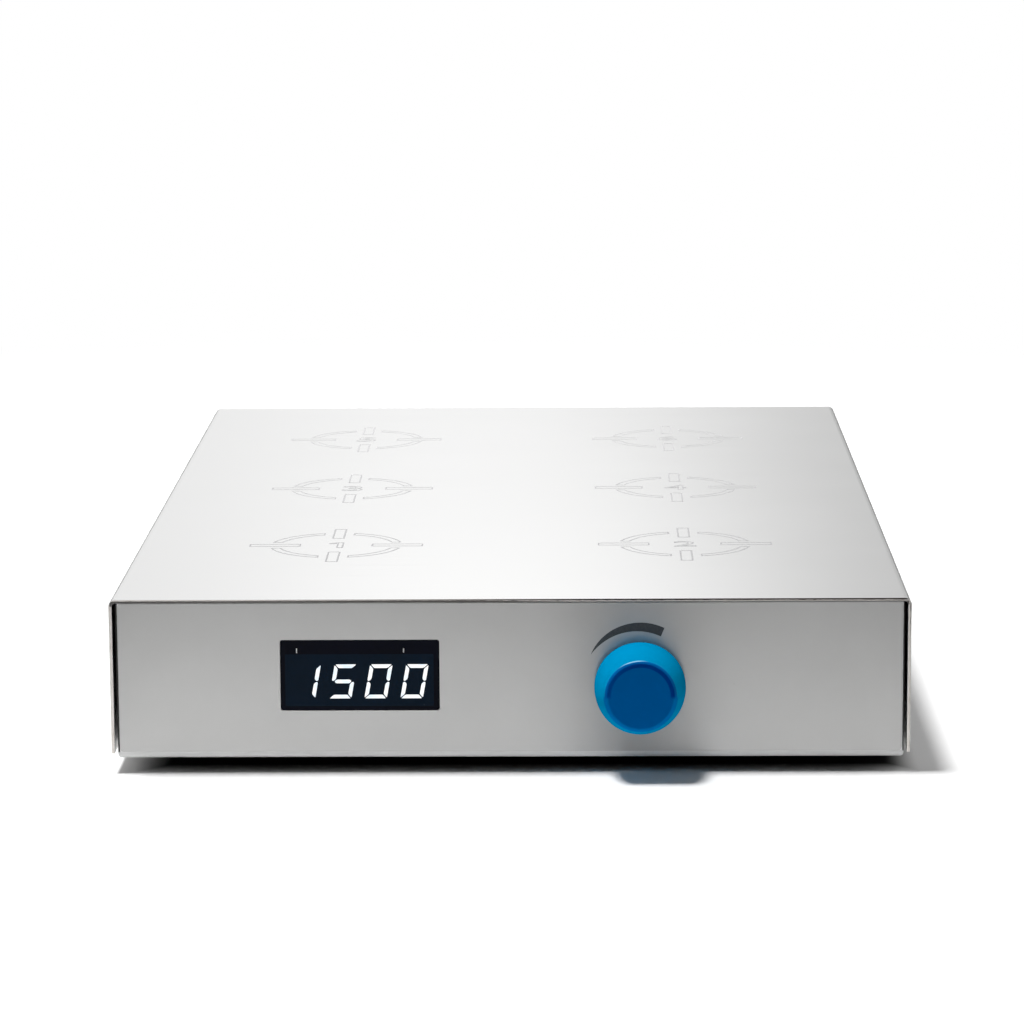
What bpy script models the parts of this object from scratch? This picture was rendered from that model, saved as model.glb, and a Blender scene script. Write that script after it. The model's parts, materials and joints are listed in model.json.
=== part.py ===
"""Six-position magnetic stirrer with a digital display and one knob that turns and pushes.

Lengths are in metres.  X runs to the right, Y runs back from the front edge of the top cover and Z runs
up from the floor.  The assembly empty then moves everything back along Y, so that the origin lies on the
floor under the middle of the whole outline.
"""
import math

import bmesh
import bpy
import numpy as np
from mathutils import Euler, Matrix, Vector

# Whole instrument
COVER_WIDTH = 0.280
COVER_DEPTH = 0.434
OVERALL_HEIGHT = 0.062
FIT_GAP = 0.0003
CUT_OVERRUN = 0.002

# Top cover: one sheet bent down at both sides
COVER_SHEET = 0.0012
COVER_BEND = 0.0024
FLANGE_LIFT = 0.002

# Base tray: folded pan with open sides above low lips
TRAY_SHEET = 0.0012
TRAY_BEND = 0.0016
TRAY_CORNER = 0.001
SIDE_GAP = 0.001
FACE_SETBACK = 0.0008
BACK_SETBACK = 0.001
LIP_HEIGHT = 0.016
RETURN_DEPTH = 0.010
BEND_STEPS = 3

# Front overlay film
FILM_THICKNESS = 0.0003
FILM_SIDE_MARGIN = 0.0007
FILM_CORNER = 0.0013
FILM_BOTTOM_MARGIN = 0.0025

# Display window and display module
WINDOW_WIDTH = 0.0552
WINDOW_HEIGHT = 0.0247
WINDOW_CORNER = 0.0005
WINDOW_X = -0.05245
WINDOW_DROP = 0.02715
WINDOW_LEDGE = 0.002
WINDOW_LEDGE_THICKNESS = 0.0012
MODULE_WIDTH = 0.0503
MODULE_HEIGHT = 0.019
MODULE_DEPTH = 0.008
MODULE_DROP = 0.0301

# Display board
BOARD_THICKNESS = 0.0016
DISPLAY_BOARD_MARGIN = 0.006
DISPLAY_BOARD_CLEAR = 0.0066

# Knob
KNOB_X = 0.0455
KNOB_DROP = 0.0312
KNOB_STANDOFF = 0.001
KNOB_LENGTH = 0.0168
KNOB_BASE_RADIUS = 0.01595
KNOB_FACE_RADIUS = 0.0126
KNOB_RIM = 0.0016
KNOB_FOOT_ROUND = 0.0008
KNOB_WALL = 0.0028
KNOB_FRONT_WALL = 0.003
KNOB_HUB_RADIUS = 0.0058
KNOB_SIDE_POWER = 2.4
KNOB_SIDE_STEPS = 6
KNOB_STEPS = 40
KNOB_TRAVEL = 0.0005

# Push encoder
ENCODER_WIDTH = 0.014
BUSH_RADIUS = 0.0045
BUSH_REACH = 0.0045
NUT_ACROSS_FLATS = 0.012
NUT_THICKNESS = 0.002
ENCODER_SHAFT_RADIUS = 0.003
ENCODER_TAIL_RADIUS = 0.002
ENCODER_FLAT_DEPTH = 0.0008
DETENT_RADIUS = 0.0054
DETENT_DEPTH = 0.0004
DETENT_THICKNESS = 0.002
DETENT_COUNT = 15
ENCODER_ROOM = 0.005

# Stirring places
COLUMN_INSET = 0.075
FIRST_ROW = 0.102
LAST_ROW_INSET = 0.088
ROWS = 3

# Heights inside, as shares of the room between the tray floor and the tray's top edge
MAGNET_SHARE = 0.11
CARRIER_SHARE = 0.147
GROOVE_SHARE = 0.092
BELT_SHARE = 0.0276
STATOR_SHARE = 0.129

# Stirring rotor, its magnet, bush and spindle
MAGNET_AIR_GAP = 0.0023
CARRIER_RADIUS = 0.023
CARRIER_CHAMFER = 0.0008
ROTOR_PITCH_RADIUS = 0.020
GROOVE_LIP = 0.0004
GROOVE_LAND = 0.0003
PULLEY_END = 0.001
MAGNET_LENGTH = 0.040
MAGNET_WIDTH = 0.012
MAGNET_SINK = 0.0002
MAGNET_EDGE = 0.0006
ROTOR_WEB = 0.002
SPINDLE_RADIUS = 0.004
BUSH_WALL = 0.0018
BUSH_FLANGE_RADIUS = 0.0080
BUSH_FLANGE_THICKNESS = 0.0012
SPINDLE_FLANGE_RADIUS = 0.0085
SPINDLE_FLANGE_THICKNESS = 0.0015
SPINDLE_STUD_RADIUS = 0.0025
RIVET_RADIUS = 0.0038
RIVET_THICKNESS = 0.0010
ROUND_STEPS = 20
SMALL_STEPS = 12

# Drive bridge
BRIDGE_SHEET = 0.0015
BRIDGE_BEND = 0.0025
BRIDGE_SIDE_ROOM = 0.040
BRIDGE_FOOT = 0.014
BRIDGE_MARGIN = 0.034

# Belts
BELT_ARC_STEPS = 10

# Motor
DRIVE_PITCH_RADIUS = 0.010
MOTOR_FLANGE_RADIUS = 0.022
MOTOR_FLANGE_THICKNESS = 0.003
MOTOR_TUBE_RADIUS = 0.006
STATOR_RADIUS = 0.0175
BELL_RADIUS = 0.0215
BELL_WALL = 0.0025
BELL_FLOOR = 0.002
BELL_HUB_RADIUS = 0.005
BELL_HUB_HEIGHT = 0.0015
MOTOR_AIR_GAP = 0.0008
MOTOR_SHAFT_RADIUS = 0.0025
MOTOR_SHAFT_END = 0.001

# Main board and its parts
MAIN_BOARD_WIDTH = 0.104
MAIN_BOARD_LENGTH = 0.108
MAIN_BOARD_X = 0.020
MAIN_BOARD_BACK_SPACE = 0.038
POST_RADIUS = 0.003
POST_HEIGHT = 0.006
POST_INSET = 0.006
SOLDER_SINK = 0.0008
BOARD_HEADROOM = 0.0033
TRANSFORMER_SIZE = (0.030, 0.026)
CAPACITOR_RADIUS = 0.0055
HEAT_SINK_SIZE = (0.004, 0.036)
CONNECTOR_SIZE = (0.020, 0.008, 0.009)
TERMINAL_SIZE = (0.016, 0.010, 0.010)

# Ribbon between the boards
RIBBON_WIDTH = 0.015
RIBBON_THICKNESS = 0.001
RIBBON_BEND = 0.002
RIBBON_REACH = 0.008

# Mains inlet socket, seen from behind
INLET_INSET = 0.088
INLET_HEIGHT_UP = 0.028
INLET_FLANGE = (0.0308, 0.0240)
INLET_FLANGE_CORNER = 0.003
INLET_FLANGE_THICKNESS = 0.0025
INLET_BODY = (0.0268, 0.0198)
INLET_BODY_DEPTH = 0.020
INLET_RECESS = (0.0240, 0.0165)
INLET_RECESS_CHAMFER = 0.0055
INLET_RECESS_DEPTH = 0.016
BLADE_SIZE = (0.002, 0.004, 0.0145)
BLADE_SPACING = 0.007
BLADE_DROP = 0.001
EARTH_RISE = 0.003
TAB_SIZE = (0.0008, 0.0063, 0.008)

# Rocker switch, seen from behind
SWITCH_INSET = 0.046
SWITCH_BEZEL = (0.0150, 0.0210)
SWITCH_BEZEL_CORNER = 0.001
SWITCH_BEZEL_THICKNESS = 0.0018
SWITCH_BODY = (0.0130, 0.0190)
SWITCH_BODY_DEPTH = 0.013
SWITCH_WALL = 0.001
SWITCH_ROOM_DEPTH = 0.0095
ROCKER_RADIUS = 0.0081
ROCKER_PIVOT_DEPTH = 0.0022
ROCKER_DISH = 0.0016
ROCKER_RISE = 0.0040
ROCKER_CAM = 0.0042
ROCKER_PIN_RADIUS = 0.0010
ROCKER_TILT = 10.0

# Lead from the switch to the main board
LEAD_RADIUS = 0.0025
LEAD_REACH = 0.007
LEAD_BEND = 0.004

# Feet
FOOT_HEIGHT = 0.005
FOOT_RADIUS = 0.009
FOOT_TOP_RADIUS = 0.0080
FOOT_CHAMFER = 0.001
FOOT_SIDE_INSET = 0.025
FOOT_INSET = 0.045
FOOT_STEM_RADIUS = 0.003
FOOT_BARB_RADIUS = 0.0042
FOOT_BARB_HEIGHT = 0.002

# Cover screws
SCREW_INSET = 0.060
SCREW_RISE = 0.0105
SCREW_RADIUS = 0.0015
SCREW_HEAD_RADIUS = 0.0028
SCREW_HEAD_HEIGHT = 0.0018
SCREW_LENGTH = 0.007
SCREW_KEY = 0.002

# Levels and planes that follow from the sizes above
COVER_UNDERSIDE = OVERALL_HEIGHT - COVER_SHEET
TRAY_UNDERSIDE = FOOT_HEIGHT
TRAY_FLOOR = TRAY_UNDERSIDE + TRAY_SHEET
TRAY_TOP = COVER_UNDERSIDE - FIT_GAP
INNER_HEIGHT = TRAY_TOP - TRAY_FLOOR
FLANGE_BOTTOM = TRAY_UNDERSIDE + FLANGE_LIFT
COVER_HALF = COVER_WIDTH / 2
TRAY_HALF = COVER_HALF - COVER_SHEET - SIDE_GAP
WALL_FRONT = FACE_SETBACK + FILM_THICKNESS + FIT_GAP
WALL_BACK = COVER_DEPTH - BACK_SETBACK
WALL_INNER_FRONT = WALL_FRONT + TRAY_SHEET
WALL_INNER_BACK = WALL_BACK - TRAY_SHEET
WINDOW_Z = OVERALL_HEIGHT - WINDOW_DROP
MODULE_Z = OVERALL_HEIGHT - MODULE_DROP
KNOB_Z = OVERALL_HEIGHT - KNOB_DROP
DISPLAY_BOARD_HEIGHT = 2 * (KNOB_Z - TRAY_FLOOR - DISPLAY_BOARD_CLEAR)
LEDGE_FRONT = WALL_INNER_FRONT + FIT_GAP
MODULE_FRONT = LEDGE_FRONT + WINDOW_LEDGE_THICKNESS + FIT_GAP
DISPLAY_BOARD_FRONT = MODULE_FRONT + MODULE_DEPTH + FIT_GAP
MAGNET_HEIGHT = MAGNET_SHARE * INNER_HEIGHT
CARRIER_THICKNESS = CARRIER_SHARE * INNER_HEIGHT
GROOVE_PITCH = GROOVE_SHARE * INNER_HEIGHT
GROOVE_MOUTH_HALF = GROOVE_PITCH / 2 - GROOVE_LAND
BELT_RADIUS = BELT_SHARE * INNER_HEIGHT
STATOR_THICKNESS = STATOR_SHARE * INNER_HEIGHT
ROTOR_TOP = COVER_UNDERSIDE - MAGNET_AIR_GAP
CARRIER_BOTTOM = ROTOR_TOP - CARRIER_THICKNESS
GROOVE_LEVELS = [CARRIER_BOTTOM - (row + 0.5) * GROOVE_PITCH for row in range(ROWS)]
ROTOR_BOTTOM = CARRIER_BOTTOM - ROWS * GROOVE_PITCH - PULLEY_END
BORE_TOP = ROTOR_TOP - MAGNET_SINK - MAGNET_HEIGHT - FIT_GAP - ROTOR_WEB
SPINDLE_FLANGE_TOP = ROTOR_BOTTOM - BUSH_FLANGE_THICKNESS - FIT_GAP - FIT_GAP
BRIDGE_TOP = SPINDLE_FLANGE_TOP - SPINDLE_FLANGE_THICKNESS - FIT_GAP
BRIDGE_BOTTOM = BRIDGE_TOP - BRIDGE_SHEET
BUSH_OUTER_RADIUS = SPINDLE_RADIUS + FIT_GAP + BUSH_WALL
COLUMN_PITCH = COVER_WIDTH - 2 * COLUMN_INSET
ROW_PITCH = (COVER_DEPTH - FIRST_ROW - LAST_ROW_INSET) / (ROWS - 1)
ROW_PLACES = [FIRST_ROW + row * ROW_PITCH for row in range(ROWS)]
MIDDLE_ROW = ROW_PLACES[ROWS // 2]
STIRRING_PLACES = [(side * COLUMN_PITCH / 2, y) for y in ROW_PLACES for side in (-1, 1)]
MAIN_BOARD_BOTTOM = TRAY_FLOOR + POST_HEIGHT + FIT_GAP
MAIN_BOARD_TOP = MAIN_BOARD_BOTTOM + BOARD_THICKNESS
MAIN_BOARD_BACK = WALL_INNER_BACK - MAIN_BOARD_BACK_SPACE
MAIN_BOARD_FRONT = MAIN_BOARD_BACK - MAIN_BOARD_LENGTH
RIBBON_X = MAIN_BOARD_X - MAIN_BOARD_WIDTH / 2 + CONNECTOR_SIZE[0] / 2
BOARD_PART_HEIGHT = BRIDGE_BOTTOM - MAIN_BOARD_TOP - BOARD_HEADROOM
SOCKET_Z = TRAY_UNDERSIDE + INLET_HEIGHT_UP
INLET_X = COVER_HALF - INLET_INSET
SWITCH_X = COVER_HALF - SWITCH_INSET
FOOT_X = COVER_HALF - FOOT_SIDE_INSET

FACING_FRONT = (math.pi / 2, 0, 0)
FACING_BACK = (math.pi / 2, 0, math.pi)

STEEL = ((0.78, 0.78, 0.77), 0.30, 1.0)
ZINC = ((0.62, 0.63, 0.62), 0.42, 1.0)
ALUMINIUM = ((0.72, 0.73, 0.74), 0.35, 1.0)
BRONZE = ((0.62, 0.40, 0.20), 0.45, 1.0)
FILM_GREY = ((0.60, 0.61, 0.59), 0.45, 0.0)
DARK_GLOSS = ((0.006, 0.010, 0.025), 0.12, 0.0)
MODULE_GREY = ((0.05, 0.05, 0.055), 0.5, 0.0)
BOARD_GREEN = ((0.03, 0.17, 0.07), 0.5, 0.0)
KNOB_BLUE = ((0.0, 0.27, 0.62), 0.35, 0.0)
BLACK_PLASTIC = ((0.02, 0.02, 0.022), 0.4, 0.0)
BLACK_RUBBER = ((0.015, 0.015, 0.015), 0.8, 0.0)
MAGNET_GREY = ((0.16, 0.16, 0.17), 0.5, 0.6)
CABLE_GREY = ((0.35, 0.36, 0.38), 0.6, 0.0)


# Scene, collections and materials

def start_scene():
    """Empties the file and gives the collection of the parts and the one of the cutters."""
    for old in list(bpy.data.objects):
        bpy.data.objects.remove(old, do_unlink=True)
    made = []
    for name in ("magnetic_stirrer", "cutters"):
        collection = bpy.data.collections.new(name)
        bpy.context.scene.collection.children.link(collection)
        made.append(collection)
    return made


PARTS, CUTTERS = start_scene()


def give_finish(item, finish):
    colour, roughness, metallic = finish
    material = bpy.data.materials.new(item.name + "_finish")
    material.use_nodes = True
    shader = material.node_tree.nodes["Principled BSDF"]
    shader.inputs["Base Color"].default_value = (*colour, 1)
    shader.inputs["Roughness"].default_value = roughness
    shader.inputs["Metallic"].default_value = metallic
    material.diffuse_color = (*colour, 1)
    item.data.materials.clear()
    item.data.materials.append(material)


def add(name, data, place, turn=(0, 0, 0), finish=None):
    item = bpy.data.objects.new(name, data)
    PARTS.objects.link(item)
    item.location = place
    item.rotation_euler = turn
    if finish:
        give_finish(item, finish)
    return item


def put_away(tool):
    """Moves a cutter, or a shape that was joined to another, out of the parts."""
    if tool.name in PARTS.objects:
        PARTS.objects.unlink(tool)
        CUTTERS.objects.link(tool)
    tool.hide_render = True
    tool.display_type = "WIRE"


# Plane outlines

def arc(centre_x, centre_y, radius, start, end, steps):
    """Points on a circle from one angle to another, in degrees, with both ends."""
    angles = np.radians(np.linspace(start, end, steps + 1))
    return [(centre_x + radius * math.cos(a), centre_y + radius * math.sin(a)) for a in angles]


def circle(radius, steps, centre_x=0.0, centre_y=0.0):
    return arc(centre_x, centre_y, radius, 0, 360, steps)[:-1]


def rectangle(width, height, centre_x=0.0, centre_y=0.0):
    half_width, half_height = width / 2, height / 2
    corners = ((-1, -1), (1, -1), (1, 1), (-1, 1))
    return [(centre_x + x * half_width, centre_y + y * half_height) for x, y in corners]


def rounded_rectangle(width, height, corner, centre_x=0.0, centre_y=0.0):
    points = []
    for quarter, (x, y) in enumerate(((1, 1), (-1, 1), (-1, -1), (1, -1))):
        middle_x = centre_x + x * (width / 2 - corner)
        middle_y = centre_y + y * (height / 2 - corner)
        points += arc(middle_x, middle_y, corner, quarter * 90, quarter * 90 + 90, BEND_STEPS)
    return points


def flatted_circle(radius, flat_depth, steps):
    """A circle with one flat across its top, as on a keyed shaft."""
    half = math.degrees(math.acos((radius - flat_depth) / radius))
    return arc(0, 0, radius, 90 + half, 450 - half, steps)


def bent_path(corners, radius):
    """Straight runs between the corners, with every inner corner rounded to the radius."""
    points = [Vector(corners[0])]
    for before, corner, after in zip(corners, corners[1:], corners[2:]):
        corner = Vector(corner)
        back = (Vector(before) - corner).normalized()
        on = (Vector(after) - corner).normalized()
        half = back.angle(on) / 2
        centre = corner + (back + on).normalized() * (radius / math.sin(half))
        first = (corner + back * (radius / math.tan(half)) - centre).normalized()
        last = (corner + on * (radius / math.tan(half)) - centre).normalized()
        shares = [step / BEND_STEPS for step in range(BEND_STEPS + 1)]
        points += [centre + radius * first.slerp(last, share) for share in shares]
    points.append(Vector(corners[-1]))
    return points


# Solids

def mesh_from(bm, name):
    mesh = bpy.data.meshes.new(name)
    bm.to_mesh(mesh)
    bm.free()
    return mesh


def smooth_round_faces(mesh):
    mesh.shade_smooth()
    mesh.set_sharp_from_angle(angle=math.radians(35))


def baked(item):
    """Replaces the object's curve or modifiers by the mesh that they make, with loose caps welded."""
    bpy.context.view_layer.update()
    graph = bpy.context.evaluated_depsgraph_get()
    mesh = bpy.data.meshes.new_from_object(item.evaluated_get(graph))
    bm = bmesh.new()
    bm.from_mesh(mesh)
    bmesh.ops.remove_doubles(bm, verts=bm.verts, dist=FIT_GAP / 100)
    bm.to_mesh(mesh)
    bm.free()
    smooth_round_faces(mesh)
    name, place = item.name, item.matrix_world.copy()
    bpy.data.objects.remove(item, do_unlink=True)
    solid = bpy.data.objects.new(name, mesh)
    PARTS.objects.link(solid)
    solid.matrix_world = place
    return solid


def block(name, size, centre, finish=None, turn=(0, 0, 0)):
    bm = bmesh.new()
    bmesh.ops.create_cube(bm, size=1.0)
    bmesh.ops.scale(bm, vec=size, verts=bm.verts)
    return add(name, mesh_from(bm, name), centre, turn, finish)


def block_between(name, low, high, finish=None):
    low, high = Vector(low), Vector(high)
    return block(name, high - low, (low + high) / 2, finish)


def rod(name, radius, length, base, turn=(0, 0, 0), finish=None, steps=SMALL_STEPS):
    """A cylinder from its base along its own Z."""
    bm = bmesh.new()
    bmesh.ops.create_cone(
        bm, cap_ends=True, segments=steps, radius1=radius, radius2=radius, depth=length,
        matrix=Matrix.Translation((0, 0, length / 2)),
    )
    mesh = mesh_from(bm, name)
    smooth_round_faces(mesh)
    return add(name, mesh, base, turn, finish)


def plate(name, outlines, thickness, base, turn=(0, 0, 0), finish=None):
    """A flat outline, the first loop, with the other loops as holes, and its thickness along its own Z."""
    curve = bpy.data.curves.new(name, "CURVE")
    curve.dimensions = "2D"
    curve.fill_mode = "BOTH"
    curve.extrude = thickness / 2
    for outline in outlines:
        spline = curve.splines.new("POLY")
        spline.points.add(len(outline) - 1)
        for point, (x, y) in zip(spline.points, outline):
            point.co = (x, y, 0, 1)
        spline.use_cyclic_u = True
    middle = Vector(base) + Euler(turn).to_matrix() @ Vector((0, 0, thickness / 2))
    solid = baked(add(name, curve, middle, turn))
    if finish:
        give_finish(solid, finish)
    return solid


def turned(name, profile, place, turn=(0, 0, 0), finish=None, steps=ROUND_STEPS, ring=False):
    """A profile of (radius, height) points turned about its own Z.

    It runs down the outer side.  It starts and ends on the axis, or with ring closes round a bore.
    """
    bm = bmesh.new()
    points = [bm.verts.new((radius, 0, height)) for radius, height in profile]
    for first, second in zip(points, points[1:]):
        bm.edges.new((first, second))
    if ring:
        bm.edges.new((points[-1], points[0]))
    item = add(name, mesh_from(bm, name), place, turn)
    screw = item.modifiers.new("turn", "SCREW")
    screw.steps = steps
    screw.render_steps = steps
    screw.use_merge_vertices = True
    screw.merge_threshold = FIT_GAP / 100
    solid = baked(item)
    if finish:
        give_finish(solid, finish)
    return solid


def bent_sheet(name, path, run, thickness, along, finish):
    """A sheet bent to a path of its outer face, extruded along X or Y from the first run to the last.

    The outer side is that of the path's direction crossed with the direction of the run.
    """
    start, end = run
    bm = bmesh.new()
    if along == "Y":
        points = [bm.verts.new((u, start, v)) for u, v in path]
        shift = Vector((0, end - start, 0))
    else:
        points = [bm.verts.new((start, u, v)) for u, v in path]
        shift = Vector((end - start, 0, 0))
    edges = [bm.edges.new(pair) for pair in zip(points, points[1:])]
    extruded = bmesh.ops.extrude_edge_only(bm, edges=edges)["geom"]
    moved = [part for part in extruded if isinstance(part, bmesh.types.BMVert)]
    bmesh.ops.translate(bm, vec=shift, verts=moved)
    bmesh.ops.recalc_face_normals(bm, faces=bm.faces)
    first = points[0].link_faces[0]
    first.normal_update()
    if first.normal.dot((points[1].co - points[0].co).cross(shift)) < 0:
        bmesh.ops.reverse_faces(bm, faces=bm.faces)
    item = add(name, mesh_from(bm, name), (0, 0, 0), finish=finish)
    wall = item.modifiers.new("sheet", "SOLIDIFY")
    wall.thickness = thickness
    wall.offset = -1
    wall.use_even_offset = True
    return item


def tube(name, points, radius, cyclic, finish):
    """A round cord along points in space."""
    curve = bpy.data.curves.new(name, "CURVE")
    curve.dimensions = "3D"
    curve.bevel_depth = radius
    curve.bevel_resolution = 2
    curve.use_fill_caps = not cyclic
    spline = curve.splines.new("POLY")
    spline.points.add(len(points) - 1)
    for point, place in zip(spline.points, points):
        point.co = (*place, 1)
    spline.use_cyclic_u = cyclic
    return add(name, curve, (0, 0, 0), finish=finish)


def combine(item, tool, operation):
    change = item.modifiers.new(tool.name, "BOOLEAN")
    change.operation = operation
    change.solver = "EXACT"
    change.object = tool
    put_away(tool)


def cut(item, *tools):
    for tool in tools:
        combine(item, tool, "DIFFERENCE")


def join(item, *tools):
    for tool in tools:
        combine(item, tool, "UNION")


def repeat(item, name, place):
    """Another object at another place on the same mesh."""
    copy = bpy.data.objects.new(name, item.data)
    PARTS.objects.link(copy)
    copy.location = place
    copy.rotation_euler = item.rotation_euler
    return copy


# Housing

def screw_places():
    """(side, Y) of every cover screw."""
    return [(side, y) for side in (-1, 1) for y in (SCREW_INSET, COVER_DEPTH - SCREW_INSET)]


def side_hole(name, side, y, radius):
    """A cutter through the side flange and the tray lip on one side."""
    start = TRAY_HALF - TRAY_SHEET - CUT_OVERRUN
    length = COVER_HALF + CUT_OVERRUN - start
    place = (side * start, y, TRAY_UNDERSIDE + SCREW_RISE)
    return rod(name, radius, length, place, (0, side * math.pi / 2, 0))


def make_cover():
    corners = (
        (-COVER_HALF, FLANGE_BOTTOM), (-COVER_HALF, OVERALL_HEIGHT),
        (COVER_HALF, OVERALL_HEIGHT), (COVER_HALF, FLANGE_BOTTOM),
    )
    cover = bent_sheet(
        "top_cover", bent_path(corners, COVER_BEND), (0, COVER_DEPTH), COVER_SHEET, "Y", STEEL)
    for number, (side, y) in enumerate(screw_places(), 1):
        cut(cover, side_hole(f"cover_hole_{number}", side, y, SCREW_RADIUS + FIT_GAP))
    return cover


def bent_block(name, low, high, bend, corner, finish=None):
    """A block with its four lower edges bent round and its upper side edges eased."""
    low, high = Vector(low), Vector(high)
    bm = bmesh.new()
    bmesh.ops.create_cube(bm, size=1.0)
    bmesh.ops.scale(bm, vec=high - low, verts=bm.verts)
    bmesh.ops.translate(bm, vec=(low + high) / 2, verts=bm.verts)
    middle = (low.z + high.z) / 2
    lower = [e for e in bm.edges if all(point.co.z < middle for point in e.verts)]
    bmesh.ops.bevel(bm, geom=lower, offset=bend, segments=BEND_STEPS, profile=0.5, affect="EDGES")
    upper = [
        e for e in bm.edges
        if all(point.co.z > middle for point in e.verts) and e.verts[0].co.x * e.verts[1].co.x > 0
    ]
    bmesh.ops.bevel(bm, geom=upper, offset=corner, segments=BEND_STEPS, profile=0.5, affect="EDGES")
    return add(name, mesh_from(bm, name), (0, 0, 0), finish=finish)


def make_tray():
    """A folded pan: the outer block less an inner one that leaves the sheet's thickness all round."""
    tray = bent_block(
        "base_tray", (-TRAY_HALF, WALL_FRONT, TRAY_UNDERSIDE), (TRAY_HALF, WALL_BACK, TRAY_TOP),
        TRAY_BEND, TRAY_CORNER, ZINC)
    inner_half = TRAY_HALF - TRAY_SHEET
    cut(tray, bent_block(
        "tray_room", (-inner_half, WALL_INNER_FRONT, TRAY_FLOOR),
        (inner_half, WALL_INNER_BACK, TRAY_TOP + TRAY_BEND), TRAY_BEND - TRAY_SHEET, TRAY_CORNER))
    low_y, high_y = WALL_FRONT + RETURN_DEPTH, WALL_BACK - RETURN_DEPTH
    lip_top = TRAY_UNDERSIDE + LIP_HEIGHT
    for side in (-1, 1):
        inner, outer = side * (TRAY_HALF - TRAY_BEND), side * (TRAY_HALF + CUT_OVERRUN)
        cut(tray, block_between(
            f"side_opening_{side}", (min(inner, outer), low_y, lip_top),
            (max(inner, outer), high_y, TRAY_TOP + CUT_OVERRUN)))
    window = (WINDOW_WIDTH + 2 * FIT_GAP, WINDOW_HEIGHT + 2 * FIT_GAP)
    through = TRAY_SHEET + 2 * CUT_OVERRUN
    cut(tray, plate(
        "window_cut", [rounded_rectangle(*window, WINDOW_CORNER + FIT_GAP)], through,
        (WINDOW_X, WALL_INNER_FRONT + CUT_OVERRUN, WINDOW_Z), FACING_FRONT))
    cut(tray, rod(
        "bush_cut", BUSH_RADIUS + FIT_GAP, through,
        (KNOB_X, WALL_INNER_FRONT + CUT_OVERRUN, KNOB_Z), FACING_FRONT, steps=ROUND_STEPS))
    back = WALL_INNER_BACK - CUT_OVERRUN
    for name, x, size in (("inlet_cut", INLET_X, INLET_BODY), ("switch_cut", SWITCH_X, SWITCH_BODY)):
        hole = rectangle(size[0] + 2 * FIT_GAP, size[1] + 2 * FIT_GAP)
        cut(tray, plate(name, [hole], through, (x, back, SOCKET_Z), FACING_BACK))
    for number, (x, y) in enumerate(foot_places(), 1):
        place = (x, y, TRAY_UNDERSIDE - CUT_OVERRUN)
        cut(tray, rod(f"foot_hole_{number}", FOOT_STEM_RADIUS + FIT_GAP, through, place))
    for number, (side, y) in enumerate(screw_places(), 1):
        cut(tray, side_hole(f"lip_hole_{number}", side, y, SCREW_RADIUS + FIT_GAP))
    for number, (x, y) in enumerate(post_places(), 1):
        sunk = TRAY_SHEET / 2
        join(tray, rod(f"board_post_{number}", POST_RADIUS, POST_HEIGHT + sunk, (x, y, TRAY_FLOOR - sunk)))
    return tray


def make_overlay():
    bottom = TRAY_UNDERSIDE + FILM_BOTTOM_MARGIN
    height = TRAY_TOP - bottom
    middle = bottom + height / 2
    outline = rounded_rectangle(2 * (TRAY_HALF - FILM_SIDE_MARGIN), height, FILM_CORNER)
    window = rounded_rectangle(
        WINDOW_WIDTH + 2 * FIT_GAP, WINDOW_HEIGHT + 2 * FIT_GAP, WINDOW_CORNER + FIT_GAP,
        WINDOW_X, WINDOW_Z - middle)
    nut_hole = circle(nut_corner_radius() + FIT_GAP, ROUND_STEPS, KNOB_X, KNOB_Z - middle)
    return plate(
        "front_overlay", [outline, window, nut_hole], FILM_THICKNESS,
        (0, FACE_SETBACK + FILM_THICKNESS, middle), FACING_FRONT, FILM_GREY)


def make_window():
    """A tinted block flush with the film, with a wider ledge behind the wall that holds it in."""
    depth = LEDGE_FRONT + WINDOW_LEDGE_THICKNESS - FACE_SETBACK
    back = FACE_SETBACK + depth
    window = plate(
        "display_window", [rounded_rectangle(WINDOW_WIDTH, WINDOW_HEIGHT, WINDOW_CORNER)], depth,
        (WINDOW_X, back, WINDOW_Z), FACING_FRONT, DARK_GLOSS)
    wide = (WINDOW_WIDTH + 2 * WINDOW_LEDGE, WINDOW_HEIGHT + 2 * WINDOW_LEDGE)
    ledge = plate(
        "window_ledge", [rounded_rectangle(*wide, WINDOW_LEDGE)], WINDOW_LEDGE_THICKNESS,
        (WINDOW_X, back, WINDOW_Z), FACING_FRONT)
    join(window, ledge)
    return window


def foot_places():
    return [(side * FOOT_X, y) for y in (FOOT_INSET, COVER_DEPTH - FOOT_INSET) for side in (-1, 1)]


def make_feet():
    """Rubber feet, each with a stem through the tray floor and a barb above it."""
    top = TRAY_UNDERSIDE - FIT_GAP
    barb = TRAY_FLOOR + FIT_GAP
    profile = (
        (0, barb + FOOT_BARB_HEIGHT), (FOOT_STEM_RADIUS, barb + FOOT_BARB_HEIGHT),
        (FOOT_BARB_RADIUS, barb), (FOOT_STEM_RADIUS, barb), (FOOT_STEM_RADIUS, top),
        (FOOT_TOP_RADIUS, top), (FOOT_RADIUS, FOOT_CHAMFER), (FOOT_RADIUS - FOOT_CHAMFER, 0), (0, 0),
    )
    places = [(x, y, 0) for x, y in foot_places()]
    first = turned("foot_1", profile, places[0], finish=BLACK_RUBBER)
    return [first] + [repeat(first, f"foot_{n}", p) for n, p in enumerate(places[1:], 2)]


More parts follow.
